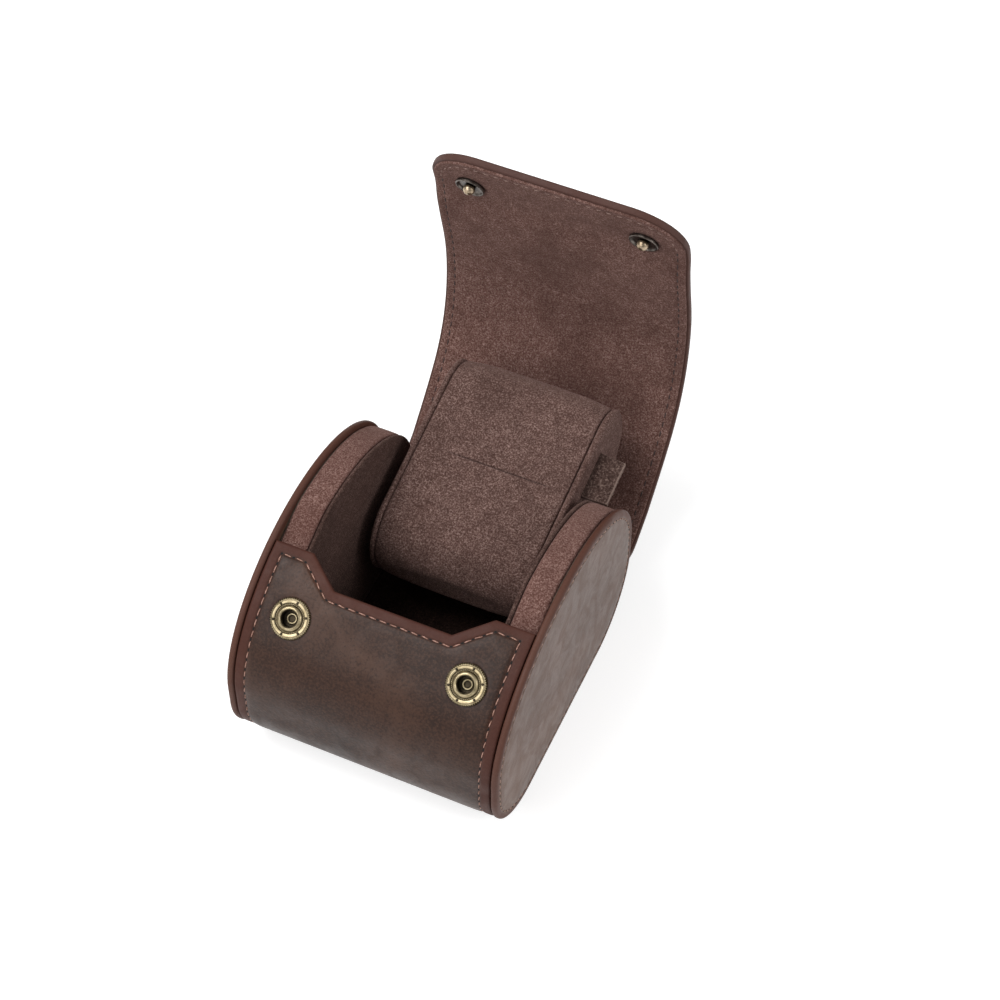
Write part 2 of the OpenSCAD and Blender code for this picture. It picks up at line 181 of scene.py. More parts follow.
def closed_strip(s, h):
    """The strip as it lies with the case shut."""
    s, h = np.broadcast_arrays(np.asarray(s, float), np.asarray(h, float))
    y = np.zeros(s.shape)
    z = np.zeros(s.shape)
    base, back = s < BASE_TURN, (s >= BASE_TURN) & (s < S_HINGE)
    y[base], z[base] = beside(np.interp(s[base], base_s, base_p), h[base] - STRIP_T)
    y[back], z[back] = beside(np.interp(s[back], back_s, back_p), h[back] - STRIP_T)
    flap = s >= S_HINGE
    p = np.interp(s[flap], flap_s, flap_p)
    rise = FLAP_GAP * (1 - smooth(S_HINGE, S_HINGE + 8, s[flap]))
    y[flap], z[flap] = beside(p, worn_inner(p) - rise + h[flap])
    return y, z


def open_share(k, y, z, s):
    lo, hi = FOLDS[k]
    start = [float(v) for v in closed_strip(lo, STRIP_T / 2)]
    end = [float(v) for v in turn(*closed_strip(hi, STRIP_T / 2), PIVOT[k], -OPEN[k])]
    dy, dz = end[0] - start[0], end[1] - start[1]
    w = smooth(lo, hi, s)
    for _ in range(60):
        ty, tz = turn(y, z, PIVOT[k], -OPEN[k] * w)
        t = np.clip(((ty - start[0]) * dy + (tz - start[1]) * dz) / (dy * dy + dz * dz), 0, 1)
        w = 0.5 * w + 0.5 * t * t * (3 - 2 * t)
    return w, start, end


def folded_strip(s, h):
    """The strip as its three folds leave it when it stands open."""
    s, h = np.broadcast_arrays(np.asarray(s, float), np.asarray(h, float))
    y, z = closed_strip(s, h)
    for k in (2, 1, 0):
        lo, hi = FOLDS[k]
        w = (s > hi).astype(float)
        near = (s > lo - 6) & (s < hi + 6)
        if near.any():
            w[near] = open_share(k, y[near], z[near], s[near])[0]
        y, z = turn(y, z, PIVOT[k], -OPEN[k] * w)
    return y, z


def even_curve():
    """The folded line, the way it looks after springy leather has evened out its kinks: how far it moves, and which way."""
    s = np.arange(S_HINGE - 20, S_TIP + 0.1, 0.5)
    line = np.stack(folded_strip(s, STRIP_T / 2), 1)
    kernel = np.exp(-0.5 * (np.arange(-60, 61) * 0.05) ** 2)
    kernel /= kernel.sum()

    def soften(path):
        first = path[0] - (path[1] - path[0]) * np.arange(60, 0, -1)[:, None]
        last = path[-1] + (path[-1] - path[-2]) * np.arange(1, 61)[:, None]
        whole = np.concatenate([first, path, last])
        return np.stack([np.convolve(whole[:, i], kernel, "valid") for i in (0, 1)], 1)

    once = soften(line)
    eased = 2 * once - soften(once)
    ahead = np.gradient(line, axis=0)
    ahead /= np.linalg.norm(ahead, axis=1)[:, None]
    out = np.stack([ahead[:, 1], -ahead[:, 0]], 1)
    move = ((eased - line) * out).sum(1)
    return s, move * smooth(S_HINGE + 24, S_HINGE + 36, s) * (1 - smooth(S_SNAP - 20, S_SNAP - 5, s)), out


EVEN_S, EVEN_MOVE, EVEN_OUT = even_curve()


def strip_at(s, h):
    """The strip as it stands open in an even curve."""
    s, h = np.broadcast_arrays(np.asarray(s, float), np.asarray(h, float))
    y, z = folded_strip(s, h)
    move = np.interp(s, EVEN_S, EVEN_MOVE)
    return y + move * np.interp(s, EVEN_S, EVEN_OUT[:, 0]), z + move * np.interp(s, EVEN_S, EVEN_OUT[:, 1])


def fold_ends(k):
    """Where fold k starts and ends on the open strip, in metres."""
    _, start, end = open_share(k, np.zeros(1), np.zeros(1), np.zeros(1))
    for j in range(k - 1, -1, -1):
        start, end = turn(*start, PIVOT[j], -OPEN[j]), turn(*end, PIVOT[j], -OPEN[j])
    return [(0, float(p[0]) * 0.001, float(p[1]) * 0.001) for p in (start, end)]


# ---------------------------------------------------------------- shop tools
def clear_selection():
    if bpy.context.mode != "OBJECT":
        bpy.ops.object.mode_set(mode="OBJECT")
    bpy.ops.object.select_all(action="DESELECT")


def named(name):
    piece = bpy.context.object
    piece.name = name
    piece.data.name = name
    return piece


def points(piece):
    co = np.empty(len(piece.data.vertices) * 3)
    piece.data.vertices.foreach_get("co", co)
    return co.reshape(-1, 3)


def set_points(piece, co):
    piece.data.vertices.foreach_set("co", np.asarray(co, float).ravel())
    piece.data.update()


def only(piece):
    clear_selection()
    piece.select_set(True)
    bpy.context.view_layer.objects.active = piece


def finish_mesh(piece, angle=38):
    """Faces outwards, and shaded smooth but for real edges."""
    only(piece)
    bpy.ops.object.mode_set(mode="EDIT")
    bpy.ops.mesh.select_all(action="SELECT")
    bpy.ops.mesh.normals_make_consistent(inside=False)
    bpy.ops.object.mode_set(mode="OBJECT")
    bpy.ops.object.shade_smooth_by_angle(angle=math.radians(angle))
    clear_selection()
    return piece


def to_metres(piece):
    set_points(piece, points(piece) * 0.001)
    return piece


def share(piece, name, values):
    """Keeps a number at each point, for a material to read."""
    layer = piece.data.attributes.get(name) or piece.data.attributes.new(name, "FLOAT", "POINT")
    layer.data.foreach_set("value", np.asarray(values, np.float32))


def spread(*runs):
    """Positions from (start, stop, step) runs, each run evenly divided."""
    out = [runs[0][0]]
    for a, b, step in runs:
        n = max(1, round(abs(b - a) / step))
        out += list(np.linspace(a, b, n + 1)[1:])
    return np.array(out)


EDGE_STEPS = [0, 0.06, 0.22, 0.48, 0.85, 1.4, 2.0, 2.5, 2.85, 3.1, 3.3, 3.5, 3.75, 4.1, 4.8, 6.0, 8.0]


def notch_floor(x):
    """How far below the front edge the notch lies at x."""
    return NOTCH_DEPTH * np.clip((NOTCH_TOP / 2 - np.abs(x)) / (NOTCH_TOP / 2 - NOTCH_FLOOR / 2), 0, 1)


def notch_distance(x, s):
    """Distance from a point of the front wall to its notched edge."""
    corners = [(-99, 0), (-NOTCH_TOP / 2, 0), (-NOTCH_FLOOR / 2, NOTCH_DEPTH), (NOTCH_FLOOR / 2, NOTCH_DEPTH),
               (NOTCH_TOP / 2, 0), (99, 0)]
    best = np.full(x.shape, 1e9)
    for (ax, as_), (bx, bs) in zip(corners[:-1], corners[1:]):
        ux, us = bx - ax, bs - as_
        t = np.clip(((x - ax) * ux + (s - as_) * us) / (ux * ux + us * us), 0, 1)
        best = np.minimum(best, np.hypot(x - ax - t * ux, s - as_ - t * us))
    return best


def round_corner(x, s, cx, cs, dx, ds, r):
    """Moves the points near a square corner at (cx, cs) so that its rings become arcs of radius r less their depth."""
    u, v = (cx - x) * dx, (cs - s) * ds
    inside = (u < r) & (v < r)
    depth = np.minimum(u, v)
    far = np.maximum(u, v)
    reach = np.maximum(r - depth, 1e-6)
    turn_by = np.clip((r - far) / reach, 0, 1) * math.pi / 4
    a = np.where(u <= v, turn_by, math.pi / 2 - turn_by)
    nu, nv = r - reach * np.cos(a), r - reach * np.sin(a)
    return np.where(inside, cx - dx * nu, x), np.where(inside, cs - ds * nv, s)


def laid_sheet(name, xs, ss, low, high, depth_of, shape=None):
    """A sheet of leather lying flat: a grid, given its thickness by extrusion, then its worked surface."""
    clear_selection()
    bpy.ops.mesh.primitive_grid_add(x_subdivisions=len(xs) - 1, y_subdivisions=len(ss) - 1, size=2)
    piece = named(name)
    co = points(piece)
    x = xs[np.rint((co[:, 0] + 1) / 2 * (len(xs) - 1)).astype(int)]
    s = ss[np.rint((co[:, 1] + 1) / 2 * (len(ss) - 1)).astype(int)]
    set_points(piece, np.stack([x, s, np.zeros(len(x))], 1))
    bpy.ops.object.mode_set(mode="EDIT")
    bpy.ops.mesh.select_all(action="SELECT")
    bpy.ops.mesh.extrude_region_move(TRANSFORM_OT_translate={"value": (0, 0, 1)})
    bpy.ops.object.mode_set(mode="OBJECT")
    co = points(piece)
    x, s, top = co[:, 0], co[:, 1], co[:, 2] > 0.5
    d = depth_of(x, s)
    h = np.where(top, high(d), low(d))
    if shape:
        x, s = shape(x, s)
    set_points(piece, np.stack([x, s, h], 1))
    share(piece, "edge_depth", d)
    return piece


def wrap(piece):
    """Bends a flat sheet round the case and up the open flap."""
    co = points(piece)
    y, z = strip_at(co[:, 1], co[:, 2])
    set_points(piece, np.stack([co[:, 0], y, z], 1) * 0.001)
    return piece


def rounded(d, r, full):
    """Height lost near an edge that is rounded to radius r, and nothing past it."""
    k = np.clip(1 - d / r, 0, 1)
    return full * (1 - np.sqrt(np.clip(1 - k * k, 0, 1)))


def dip(d, at, width, depth):
    return depth * np.exp(-(((d - at) / width) ** 2))


# ---------------------------------------------------------------- thread
def copies(piece, count):
    """The piece repeated in its own mesh; the copies' points follow one another."""
    size, have = len(piece.data.vertices), 1
    only(piece)
    bpy.ops.object.mode_set(mode="EDIT")
    while have < count:
        bpy.ops.mesh.select_all(action="SELECT")
        bpy.ops.mesh.duplicate()
        have *= 2
    bpy.ops.mesh.select_all(action="DESELECT")
    bpy.ops.object.mode_set(mode="OBJECT")
    extra = np.arange(len(piece.data.vertices)) >= size * count
    if extra.any():
        piece.data.vertices.foreach_set("select", extra)
        bpy.ops.object.mode_set(mode="EDIT")
        bpy.ops.mesh.delete(type="VERT")
        bpy.ops.object.mode_set(mode="OBJECT")
    return piece


def steps_along(path, pitch):
    """Middles, headings and ends of evenly spaced steps along a path of points."""
    path = np.asarray(path, float)
    run = np.concatenate([[0], np.cumsum(np.hypot(*np.diff(path, axis=0).T))])
    count = max(2, round(run[-1] / pitch))
    mids = (np.arange(count) + 0.5) * run[-1] / count
    ends = np.arange(count + 1) * run[-1] / count
    at = lambda t: np.stack([np.interp(t, run, path[:, 0]), np.interp(t, run, path[:, 1])], 1)
    ahead = at(mids + 0.3) - at(mids - 0.3)
    return at(mids), np.arctan2(ahead[:, 1], ahead[:, 0]), at(ends)


def sewn(name, runs, level, out, pitch=3.3, length=2.5, thick=0.36, lean=0.0):
    """Stitches lying flat at height level: one shaped from a ball and bowed into the leather, the rest its copies."""
    clear_selection()
    bpy.ops.mesh.primitive_uv_sphere_add(segments=8, ring_count=7, radius=1)
    piece = named(name)
    bpy.ops.object.mode_set(mode="EDIT")
    bpy.ops.mesh.select_all(action="SELECT")
    bpy.ops.transform.rotate(value=math.pi / 2, orient_axis="Y", center_override=(0, 0, 0))
    bpy.ops.transform.resize(value=(length / 2, thick / 2, thick / 2))
    bpy.ops.object.mode_set(mode="OBJECT")
    one = points(piece)
    one[:, 2] -= 0.24 * (one[:, 0] / (length / 2)) ** 2
    laid = [steps_along(run, pitch) for run in runs]
    mid = np.concatenate([m for m, _, _ in laid])
    heading = np.concatenate([h for _, h, _ in laid])
    rng = np.random.default_rng(len(mid))
    heading = heading + lean + rng.normal(0, 0.05, len(mid))
    size = rng.normal(1, 0.05, len(mid))
    copies(piece, len(mid))
    c, n = np.cos(heading)[:, None], np.sin(heading)[:, None]
    bx, by = one[None, :, 0] * size[:, None], one[None, :, 1]
    x, s = mid[:, :1] + bx * c - by * n, mid[:, 1:] + bx * n + by * c
    h = np.broadcast_to(level + out * one[None, :, 2], x.shape)
    set_points(piece, np.stack([x.ravel(), s.ravel(), h.ravel()], 1))
    return piece


def pricked(name, runs, level, pitch=3.3, width=0.92):
    """Needle holes between the stitches, as flat dark spots that are shaped once and copied."""
    clear_selection()
    bpy.ops.mesh.primitive_uv_sphere_add(segments=10, ring_count=5, radius=1)
    piece = named(name)
    bpy.ops.object.mode_set(mode="EDIT")
    bpy.ops.mesh.select_all(action="SELECT")
    bpy.ops.transform.resize(value=(width / 2, width / 2, 0.09))
    bpy.ops.object.mode_set(mode="OBJECT")
    one = points(piece)
    at = np.concatenate([steps_along(run, pitch)[2] for run in runs])
    rng = np.random.default_rng(len(at))
    at = at + rng.normal(0, 0.05, at.shape)
    copies(piece, len(at))
    grow = rng.normal(1, 0.1, len(at))[:, None]
    x, s = at[:, :1] + one[None, :, 0] * grow, at[:, 1:] + one[None, :, 1] * grow
    h = np.broadcast_to(level + one[None, :, 2], x.shape)
    set_points(piece, np.stack([x.ravel(), s.ravel(), h.ravel()], 1))
    return piece


# ---------------------------------------------------------------- lofted and turned pieces
def lofted(name, rings, sides, first_open=False, last_open=False):
    """A circle extruded once for each ring after the first, each ring then brought to its own outline.
    rings[k](i) gives the points of ring k; an end that isn't open is drawn together in its middle."""
    clear_selection()
    bpy.ops.mesh.primitive_circle_add(vertices=sides, radius=1.0)
    piece = named(name)
    bpy.ops.object.mode_set(mode="EDIT")
    bpy.ops.mesh.select_all(action="SELECT")
    total = len(rings) + (not first_open) + (not last_open)
    for _ in range(total - 1):
        bpy.ops.mesh.extrude_region_move(TRANSFORM_OT_translate={"value": (0, 0, 1)})
    bpy.ops.object.mode_set(mode="OBJECT")
    co = points(piece)
    ring = np.rint(co[:, 2]).astype(int) - (not first_open)
    i = np.rint(np.arctan2(co[:, 1], co[:, 0]) / (2 * math.pi) * sides).astype(int) % sides
    table = np.array([np.asarray(r, float) for r in rings])
    out = np.empty_like(co)
    inside = (ring >= 0) & (ring < len(rings))
    out[inside] = table[ring[inside], i[inside]]
    out[ring < 0] = table[0].mean(0)
    out[ring >= len(rings)] = table[-1].mean(0)
    set_points(piece, out)
    only(piece)
    bpy.ops.object.mode_set(mode="EDIT")
    bpy.ops.mesh.select_all(action="SELECT")
    bpy.ops.mesh.remove_doubles(threshold=1e-4)
    bpy.ops.object.mode_set(mode="OBJECT")
    return piece


def turned_piece(name, profile, sides, seat, knurl=None, ring=False):
    """A lathe profile of (radius, height), set down where seat puts a point of its own frame. A ring has a hole
    through its middle: its profile comes back to where it started."""
    a = np.arange(sides) * 2 * math.pi / sides
    rings = []
    for k, (r, h) in enumerate(profile + profile[:1] if ring else profile):
        rr = np.full(sides, float(r))
        if knurl and k in knurl:
            rr = rr - knurl[k] * (np.arange(sides) % 2)
        rings.append(seat(rr * np.cos(a), rr * np.sin(a), np.full(sides, float(h))))
    return finish_mesh(to_metres(lofted(name, rings, sides, ring, ring)), 32)


def wall_seat(x0):
    """Frame on the front wall at a socket: x across, y up the wall, z out of it."""
    y0, z0, ny, nz = [float(v) for v in place(P_SNAP)]
    return lambda x, y, z: np.stack([x0 + x, y0 + ny * z + nz * y, z0 + nz * z - ny * y], 1)


def tongue_seat(x0):
    """The same frame when it is fixed to the tongue and has opened with it."""
    shut = wall_seat(x0)

    def seat(x, y, z):
        p = shut(x, y, z)
        py, pz = p[:, 1], p[:, 2]
        for k in (2, 1, 0):
            py, pz = turn(py, pz, PIVOT[k], -OPEN[k])
        return np.stack([p[:, 0], py, pz], 1)

    return seat


def dotted(name, radius, count, size, height, seat, squash=0.6, start=0.0):
    """A ring of small beads, one shaped and the rest copied."""
    clear_selection()
    bpy.ops.mesh.primitive_ico_sphere_add(subdivisions=2, radius=size)
    piece = named(name)
    bpy.ops.object.mode_set(mode="EDIT")
    bpy.ops.mesh.select_all(action="SELECT")
    bpy.ops.transform.resize(value=(1, 1, squash))
    bpy.ops.object.mode_set(mode="OBJECT")
    one = points(piece)
    copies(piece, count)
    a = (start + 2 * math.pi * np.arange(count) / count)[:, None]
    x, y = one[None, :, 0] + radius * np.cos(a), one[None, :, 1] + radius * np.sin(a)
    z = np.broadcast_to(one[None, :, 2] + height, x.shape)
    set_points(piece, seat(x.ravel(), y.ravel(), z.ravel()))
    return finish_mesh(to_metres(piece), 60)


# ---------------------------------------------------------------- materials
def linear(hex_colour):
    """An sRGB hex colour as linear red, green, blue and alpha."""
    c = [int(hex_colour[i:i + 2], 16) / 255 for i in (1, 3, 5)]
    return [v / 12.92 if v <= 0.04045 else ((v + 0.055) / 1.055) ** 2.4 for v in c] + [1.0]


def add(tree, kind, settings=None, links=None):
    """Adds a node, sets its properties or input values, and links sockets to its inputs."""
    made = tree.nodes.new(kind)
    for key, value in (settings or {}).items():
        if isinstance(key, str) and hasattr(made, key) and key not in made.inputs:
            setattr(made, key, value)
        else:
            made.inputs[key].default_value = value
    for key, socket in (links or {}).items():
        tree.links.new(socket, made.inputs[key])
    return made


def ramp(tree, factor, stops):
    made = add(tree, "ShaderNodeValToRGB", {}, {"Fac": factor})
    bar = made.color_ramp
    while len(bar.elements) > len(stops):
        bar.elements.remove(bar.elements[-1])
    while len(bar.elements) < len(stops):
        bar.elements.new(0.5)
    for element, (at, colour) in zip(bar.elements, stops):
        element.position = at
        element.color = linear(colour) if isinstance(colour, str) else [colour] * 3 + [1.0]
    return made.outputs["Color"]


def blend_colours(tree, factor, a, b, kind="MIX"):
    made = add(tree, "ShaderNodeMix", {"data_type": "RGBA", "blend_type": kind})
    if isinstance(factor, float):
        made.inputs[0].default_value = factor
    else:
        tree.links.new(factor, made.inputs[0])
    for index, value in ((6, a), (7, b)):
        if isinstance(value, str):
            made.inputs[index].default_value = linear(value)
        else:
            tree.links.new(value, made.inputs[index])
    return made.outputs[2]


def new_material(name):
    made = bpy.data.materials.new(name)
    made.use_nodes = True
    tree = made.node_tree
    tree.nodes.clear()
    shader = add(tree, "ShaderNodeBsdfPrincipled")
    add(tree, "ShaderNodeOutputMaterial", {}, {"Surface": shader.outputs[0]})
    where = add(tree, "ShaderNodeTexCoord").outputs["Object"]
    return made, tree, shader, where


def noise(tree, where, mm, detail=3.0, rough=0.55, distort=0.0, stretch=(1, 1, 1)):
    """Noise whose features are about mm across."""
    placed = add(tree, "ShaderNodeMapping", {"Scale": stretch}, {"Vector": where}).outputs[0]
    return add(tree, "ShaderNodeTexNoise", {"Scale": 1000.0 / mm, "Detail": detail, "Roughness": rough,
                                            "Distortion": distort},
               {"Vector": placed}).outputs["Fac"]


def between(tree, value, lo, hi, to_lo=0.0, to_hi=1.0, soft=True):
    made = add(tree, "ShaderNodeMapRange", {"interpolation_type": "SMOOTHSTEP" if soft else "LINEAR"},
               {"Value": value})
    for key, number in (("From Min", lo), ("From Max", hi), ("To Min", to_lo), ("To Max", to_hi)):
        made.inputs[key].default_value = number
    return made.outputs["Result"]


def bump(tree, height, strength, distance_mm, under=None):
    links = {"Height": height}
    if under:
        links["Normal"] = under
    return add(tree, "ShaderNodeBump", {"Strength": strength, "Distance": distance_mm * 0.001},
               links).outputs["Normal"]


def attribute(tree, name):
    return add(tree, "ShaderNodeAttribute", {"attribute_name": name}).outputs["Fac"]


def oiled_leather(name, dark, mid, light, rim, rim_from=2.3, rim_to=4.2, rough=0.44, worn=1.0):
    """Oiled pull-up leather, vegetable tanned and waxed: it clouds a little where it has been bent, its turned
    edges show the redder tan under the wax, and it has a fine close grain with a soft waxy gleam."""
    made, tree, shader, where = new_material(name)
    cloud = noise(tree, where, 34, 3, 0.5, 0.4)
    base = ramp(tree, cloud, [(0.34, dark), (0.52, mid), (0.70, light)])
    rub = noise(tree, where, 6.5, 5, 0.6, 0.8)
    base = blend_colours(tree, between(tree, rub, 0.44, 0.68, 0.0, 0.30 * worn), base, dark)
    grain = noise(tree, where, 0.8, 3, 0.62)
    base = blend_colours(tree, between(tree, grain, 0.44, 0.66, 0.0, 0.5), base, light)
    base = blend_colours(tree, between(tree, grain, 0.48, 0.32, 0.0, 0.6), base, dark)
    edge = attribute(tree, "edge_depth")
    wander = add(tree, "ShaderNodeMath", {"operation": "MULTIPLY_ADD", 1: 2.4, 2: -1.2}, {0: rub}).outputs[0]
    at = add(tree, "ShaderNodeMath", {"operation": "ADD"}, {0: edge, 1: wander}).outputs[0]
    base = blend_colours(tree, between(tree, at, rim_from, rim_to, 0.7, 0.0), base, rim)
    tree.links.new(base, shader.inputs["Base Color"])
    dull = between(tree, rub, 0.3, 0.7, rough - 0.05, rough + 0.09)
    margin = between(tree, edge, rim_from, rim_to, 0.16, 0.0)
    tree.links.new(add(tree, "ShaderNodeMath", {"operation": "ADD"}, {0: dull, 1: margin}).outputs[0],
                   shader.inputs["Roughness"])
    shader.inputs["Specular IOR Level"].default_value = 0.24
    pore = add(tree, "ShaderNodeTexVoronoi", {"Scale": 1000 / 0.75, "feature": "SMOOTH_F1"},
               {"Vector": where}).outputs["Distance"]
    first = bump(tree, pore, 0.35, 0.12)
    second = bump(tree, grain, 0.22, 0.09, first)
    tree.links.new(bump(tree, rub, 0.10 * worn, 0.3, second), shader.inputs["Normal"])
    return made


def suede(name, dark, mid, light, patch=0.35, grain_mm=0.62, sheen=0.3, rim=None, sewn_in=False):
    """Brushed microfibre suede: a short nap that lies a little light or dark where it was stroked, with fibres
    that catch the light as fine specks. The specks are drawn twice as coarse as real fibres so that they show."""
    made, tree, shader, where = new_material(name)
    stroke = noise(tree, where, 21, 3, 0.5, 0.3)
    mottled = noise(tree, where, 3.4, 4, 0.65, 0.2)
    nap = noise(tree, where, grain_mm, 4, 0.8)
    base = ramp(tree, nap, [(0.33, dark), (0.50, mid), (0.67, light)])
    base = blend_colours(tree, between(tree, mottled, 0.42, 0.66, 0.0, patch), base, dark)
    base = blend_colours(tree, between(tree, stroke, 0.48, 0.68, 0.0, patch), base, dark)
    if sewn_in:
        base = blend_colours(tree, attribute(tree, "seam_shade"), base, "#1d1412")
    if rim:
        base = blend_colours(tree, between(tree, attribute(tree, "edge_depth"), 0.1, 0.6, 0.7, 0.0), base, rim)
    tree.links.new(base, shader.inputs["Base Color"])
    shader.inputs["Roughness"].default_value = 0.95
    shader.inputs["Specular IOR Level"].default_value = 0.12
    shader.inputs["Sheen Weight"].default_value = sheen
    shader.inputs["Sheen Roughness"].default_value = 0.5
    shader.inputs["Sheen Tint"].default_value = linear("#a98b82")
    first = bump(tree, nap, 0.9, 0.3)
    tree.links.new(bump(tree, mottled, 0.2, 0.5, first), shader.inputs["Normal"])
    return made


def thread(name, colour, shade):
    """Waxed polyester thread, laid in two plies: a soft gleam with a darker turn between the plies."""
    made, tree, shader, where = new_material(name)
    ply = noise(tree, where, 0.5, 2, 0.5)
    tree.links.new(ramp(tree, ply, [(0.38, shade), (0.62, colour)]), shader.inputs["Base Color"])
    shader.inputs["Roughness"].default_value = 0.62
    tree.links.new(bump(tree, ply, 0.4, 0.1), shader.inputs["Normal"])
    return made


def snap_metal(name, bright, worn, tarnish, rough=0.3):
    """Antique-plated brass, stamped and tumbled: high places are rubbed bright and dark tarnish stays in the hollows."""
    made, tree, shader, where = new_material(name)
    stain = noise(tree, where, 1.6, 4, 0.6, 0.3)
    fine = noise(tree, where, 0.3, 3, 0.6)
    base = ramp(tree, stain, [(0.30, worn), (0.62, bright)])
    hollow = add(tree, "ShaderNodeAmbientOcclusion", {"Distance": 0.0012}).outputs["AO"]
    base = blend_colours(tree, between(tree, hollow, 0.45, 0.95, 0.95, 0.0), base, tarnish)
    tree.links.new(base, shader.inputs["Base Color"])
    shader.inputs["Metallic"].default_value = 1.0
    tree.links.new(between(tree, fine, 0.3, 0.7, rough, rough + 0.12), shader.inputs["Roughness"])
    tree.links.new(bump(tree, fine, 0.10, 0.05), shader.inputs["Normal"])
    return made


def plain_board(name, dark, light, mm):
    """Pressed fibre board: flecked with pulp, and matt."""
    made, tree, shader, where = new_material(name)
    fleck = noise(tree, where, mm, 4, 0.6)
    tree.links.new(ramp(tree, fleck, [(0.35, dark), (0.65, light)]), shader.inputs["Base Color"])
    shader.inputs["Roughness"].default_value = 0.9
    tree.links.new(bump(tree, fleck, 0.3, 0.2), shader.inputs["Normal"])
    return made


STRIP_LEATHER = oiled_leather("strip_oiled_leather", "#24140d", "#342017", "#483024", "#49251c")
FLAP_LEATHER = oiled_leather("flap_oiled_leather", "#30211c", "#402d26", "#4d3a32", "#50332c", 1.2, 2.2)
# end panels: the oiled leather in a lighter tone, and that lighter tone is painted light, the sheen the panels catch
# from the side
END_LEATHER_LIT = oiled_leather("end_panel_leather_painted_light", "#533b2f", "#5c4235", "#684e40", "#4d2a21", 1.5, 2.8, 0.42,
                            0.3)
FLAP_SUEDE = suede("flap_lining_suede", "#432b25", "#684b44", "#a5877e", 0.35, 0.52)
PLUG_SUEDE = suede("plug_suede", "#442923", "#694b44", "#a08279", 0.3, 0.52)
# plugs' inner faces: a darker copy of the plug suede, which is painted shade inside the case
LIP_SUEDE_SHADED = suede("plug_inner_suede_painted_shade", "#2b1d18", "#493530", "#7f685f", 0.3, 0.52)
# base lining: a darker, duller copy of the lining suede, which is painted shade inside the case
BASE_SUEDE_SHADED = suede("base_lining_suede_painted_shade", "#231815", "#32241f", "#4a3832", 0.3, 0.6, 0.1)
CUSHION_SUEDE = suede("cushion_suede", "#35231e", "#5b443e", "#a0867e", 0.3, 0.52, sewn_in=True)
TAB_SUEDE = suede("pull_tab_suede", "#241814", "#44332e", "#7b6860", 0.3, 0.8, 0.25, "#86736a")
FRONT_THREAD = thread("front_waxed_thread", "#b58c7e", "#86604f")
END_THREAD = thread("end_waxed_thread", "#ad8c7d", "#83624f")
TIP_THREAD = thread("tip_waxed_thread", "#ab8d83", "#7d6158")
LINING_THREAD = thread("lining_thread", "#3c2925", "#2b1c19")
HOLE_DARK = plain_board("needle_hole_shade", "#060403", "#0c0706", 0.5)
SOCKET_METAL = snap_metal("socket_antique_brass", "#b9aa8a", "#8e8061", "#2a2013", 0.34)
BORE_METAL = snap_metal("socket_bore_tarnish", "#4a4235", "#2c261e", "#0c0a08", 0.42)
STUD_METAL = snap_metal("stud_gunmetal", "#6f6862", "#443e3a", "#120f0d", 0.28)
BALL_METAL = snap_metal("stud_ball_brass", "#b3a189", "#84735d", "#3a2d22", 0.28)
CAP_METAL = snap_metal("cap_antique_brass", "#a89a76", "#7d6f4c", "#2a2013", 0.36)
STIFFENER = plain_board("pressed_fibre_board", "#4a4038", "#63574a", 1.5)
CORE_WOOD = plain_board("fibreboard_core", "#9d8b6c", "#bba985", 0.8)


def painted(piece, material):
    piece.data.materials.clear()
    piece.data.materials.append(material)
    return piece


# ---------------------------------------------------------------- leather strip
STITCH_IN = 3.4
HINGE_CUT = S_HINGE - 3.0
BACK_CUT = (FOLDS[0][1] + FOLDS[1][0]) / 2
CROWN_CUT = (FOLDS[1][1] + FOLDS[2][0]) / 2


def strip_columns(half_w, *middle):
    near = half_w - np.array(EDGE_STEPS)[::-1]
    inner = spread(*middle)
    inner = inner[inner < near[0] - 0.3]
    half = np.concatenate([inner, near])
    return np.concatenate([-half[::-1][:-1] if half[0] == 0 else -half[::-1], half])


def leather_top(d):
    margin = 0.16 * (1 - smooth(STITCH_IN, STITCH_IN + 3.0, d))
    return STRIP_T - rounded(d, 0.85, 0.85) - dip(d, STITCH_IN, 0.42, 0.30) - margin


def leather_bottom(d):
    return LINING_T + rounded(d, 0.5, 0.5)


def notched(x, s):
    return x, s + notch_floor(x) * (1 - smooth(0, 34, s))


def front_depth(x, s):
    _, down = notched(x, s)
    return np.minimum(STRIP_X - np.abs(x), notch_distance(x, down))


def side_depth(x, s):
    return STRIP_X - np.abs(x)


def tongue_depth(x, s):
    return np.minimum(STRIP_X - np.abs(x), S_TIP - s)


def tongue_shape(edge):
    half_w, tip, r = STRIP_X - edge, S_TIP - edge, TONGUE_R - edge

    def shape(x, s):
        for side in (-1, 1):
            x, s = round_corner(x, s, side * half_w, tip, side, 1, r)
        return x, s

    return shape


front_xs = strip_columns(STRIP_X, (0, 16, 2.0), (16, 18.75, 0.45), (18.75, 29.0, 0.41), (29.0, 32, 0.6),
                         (32, 40, 1.5))
front_ss = np.concatenate([EDGE_STEPS[:5], spread((1.1, 5.6, 0.25), (5.6, 9, 0.6), (9, HINGE_CUT, 1.6))])
flap_xs = strip_columns(STRIP_X, (0, 24, 3.0), (24, 41, 1.7))
tip_rows = S_TIP - np.array(EDGE_STEPS)[::-1]

front_leather = laid_sheet("front_and_base_leather", front_xs, front_ss, leather_bottom, leather_top, front_depth,
                           notched)
# punched under the sockets, where the flanges cover the edge of the hole
co = points(front_leather)
near_socket = np.hypot(np.abs(co[:, 0]) - SNAP_X, co[:, 1] - np.interp(P_SNAP, base_p, base_s))
co[:, 2] -= np.where(co[:, 2] > 1.6, 2.25 * (1 - smooth(3.3, 5.6, near_socket)), 0)
set_points(front_leather, co)
wrap(front_leather)
finish_mesh(front_leather, 50)
painted(front_leather, STRIP_LEATHER)
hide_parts("base_leather", "base_board")
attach(front_leather, "case")

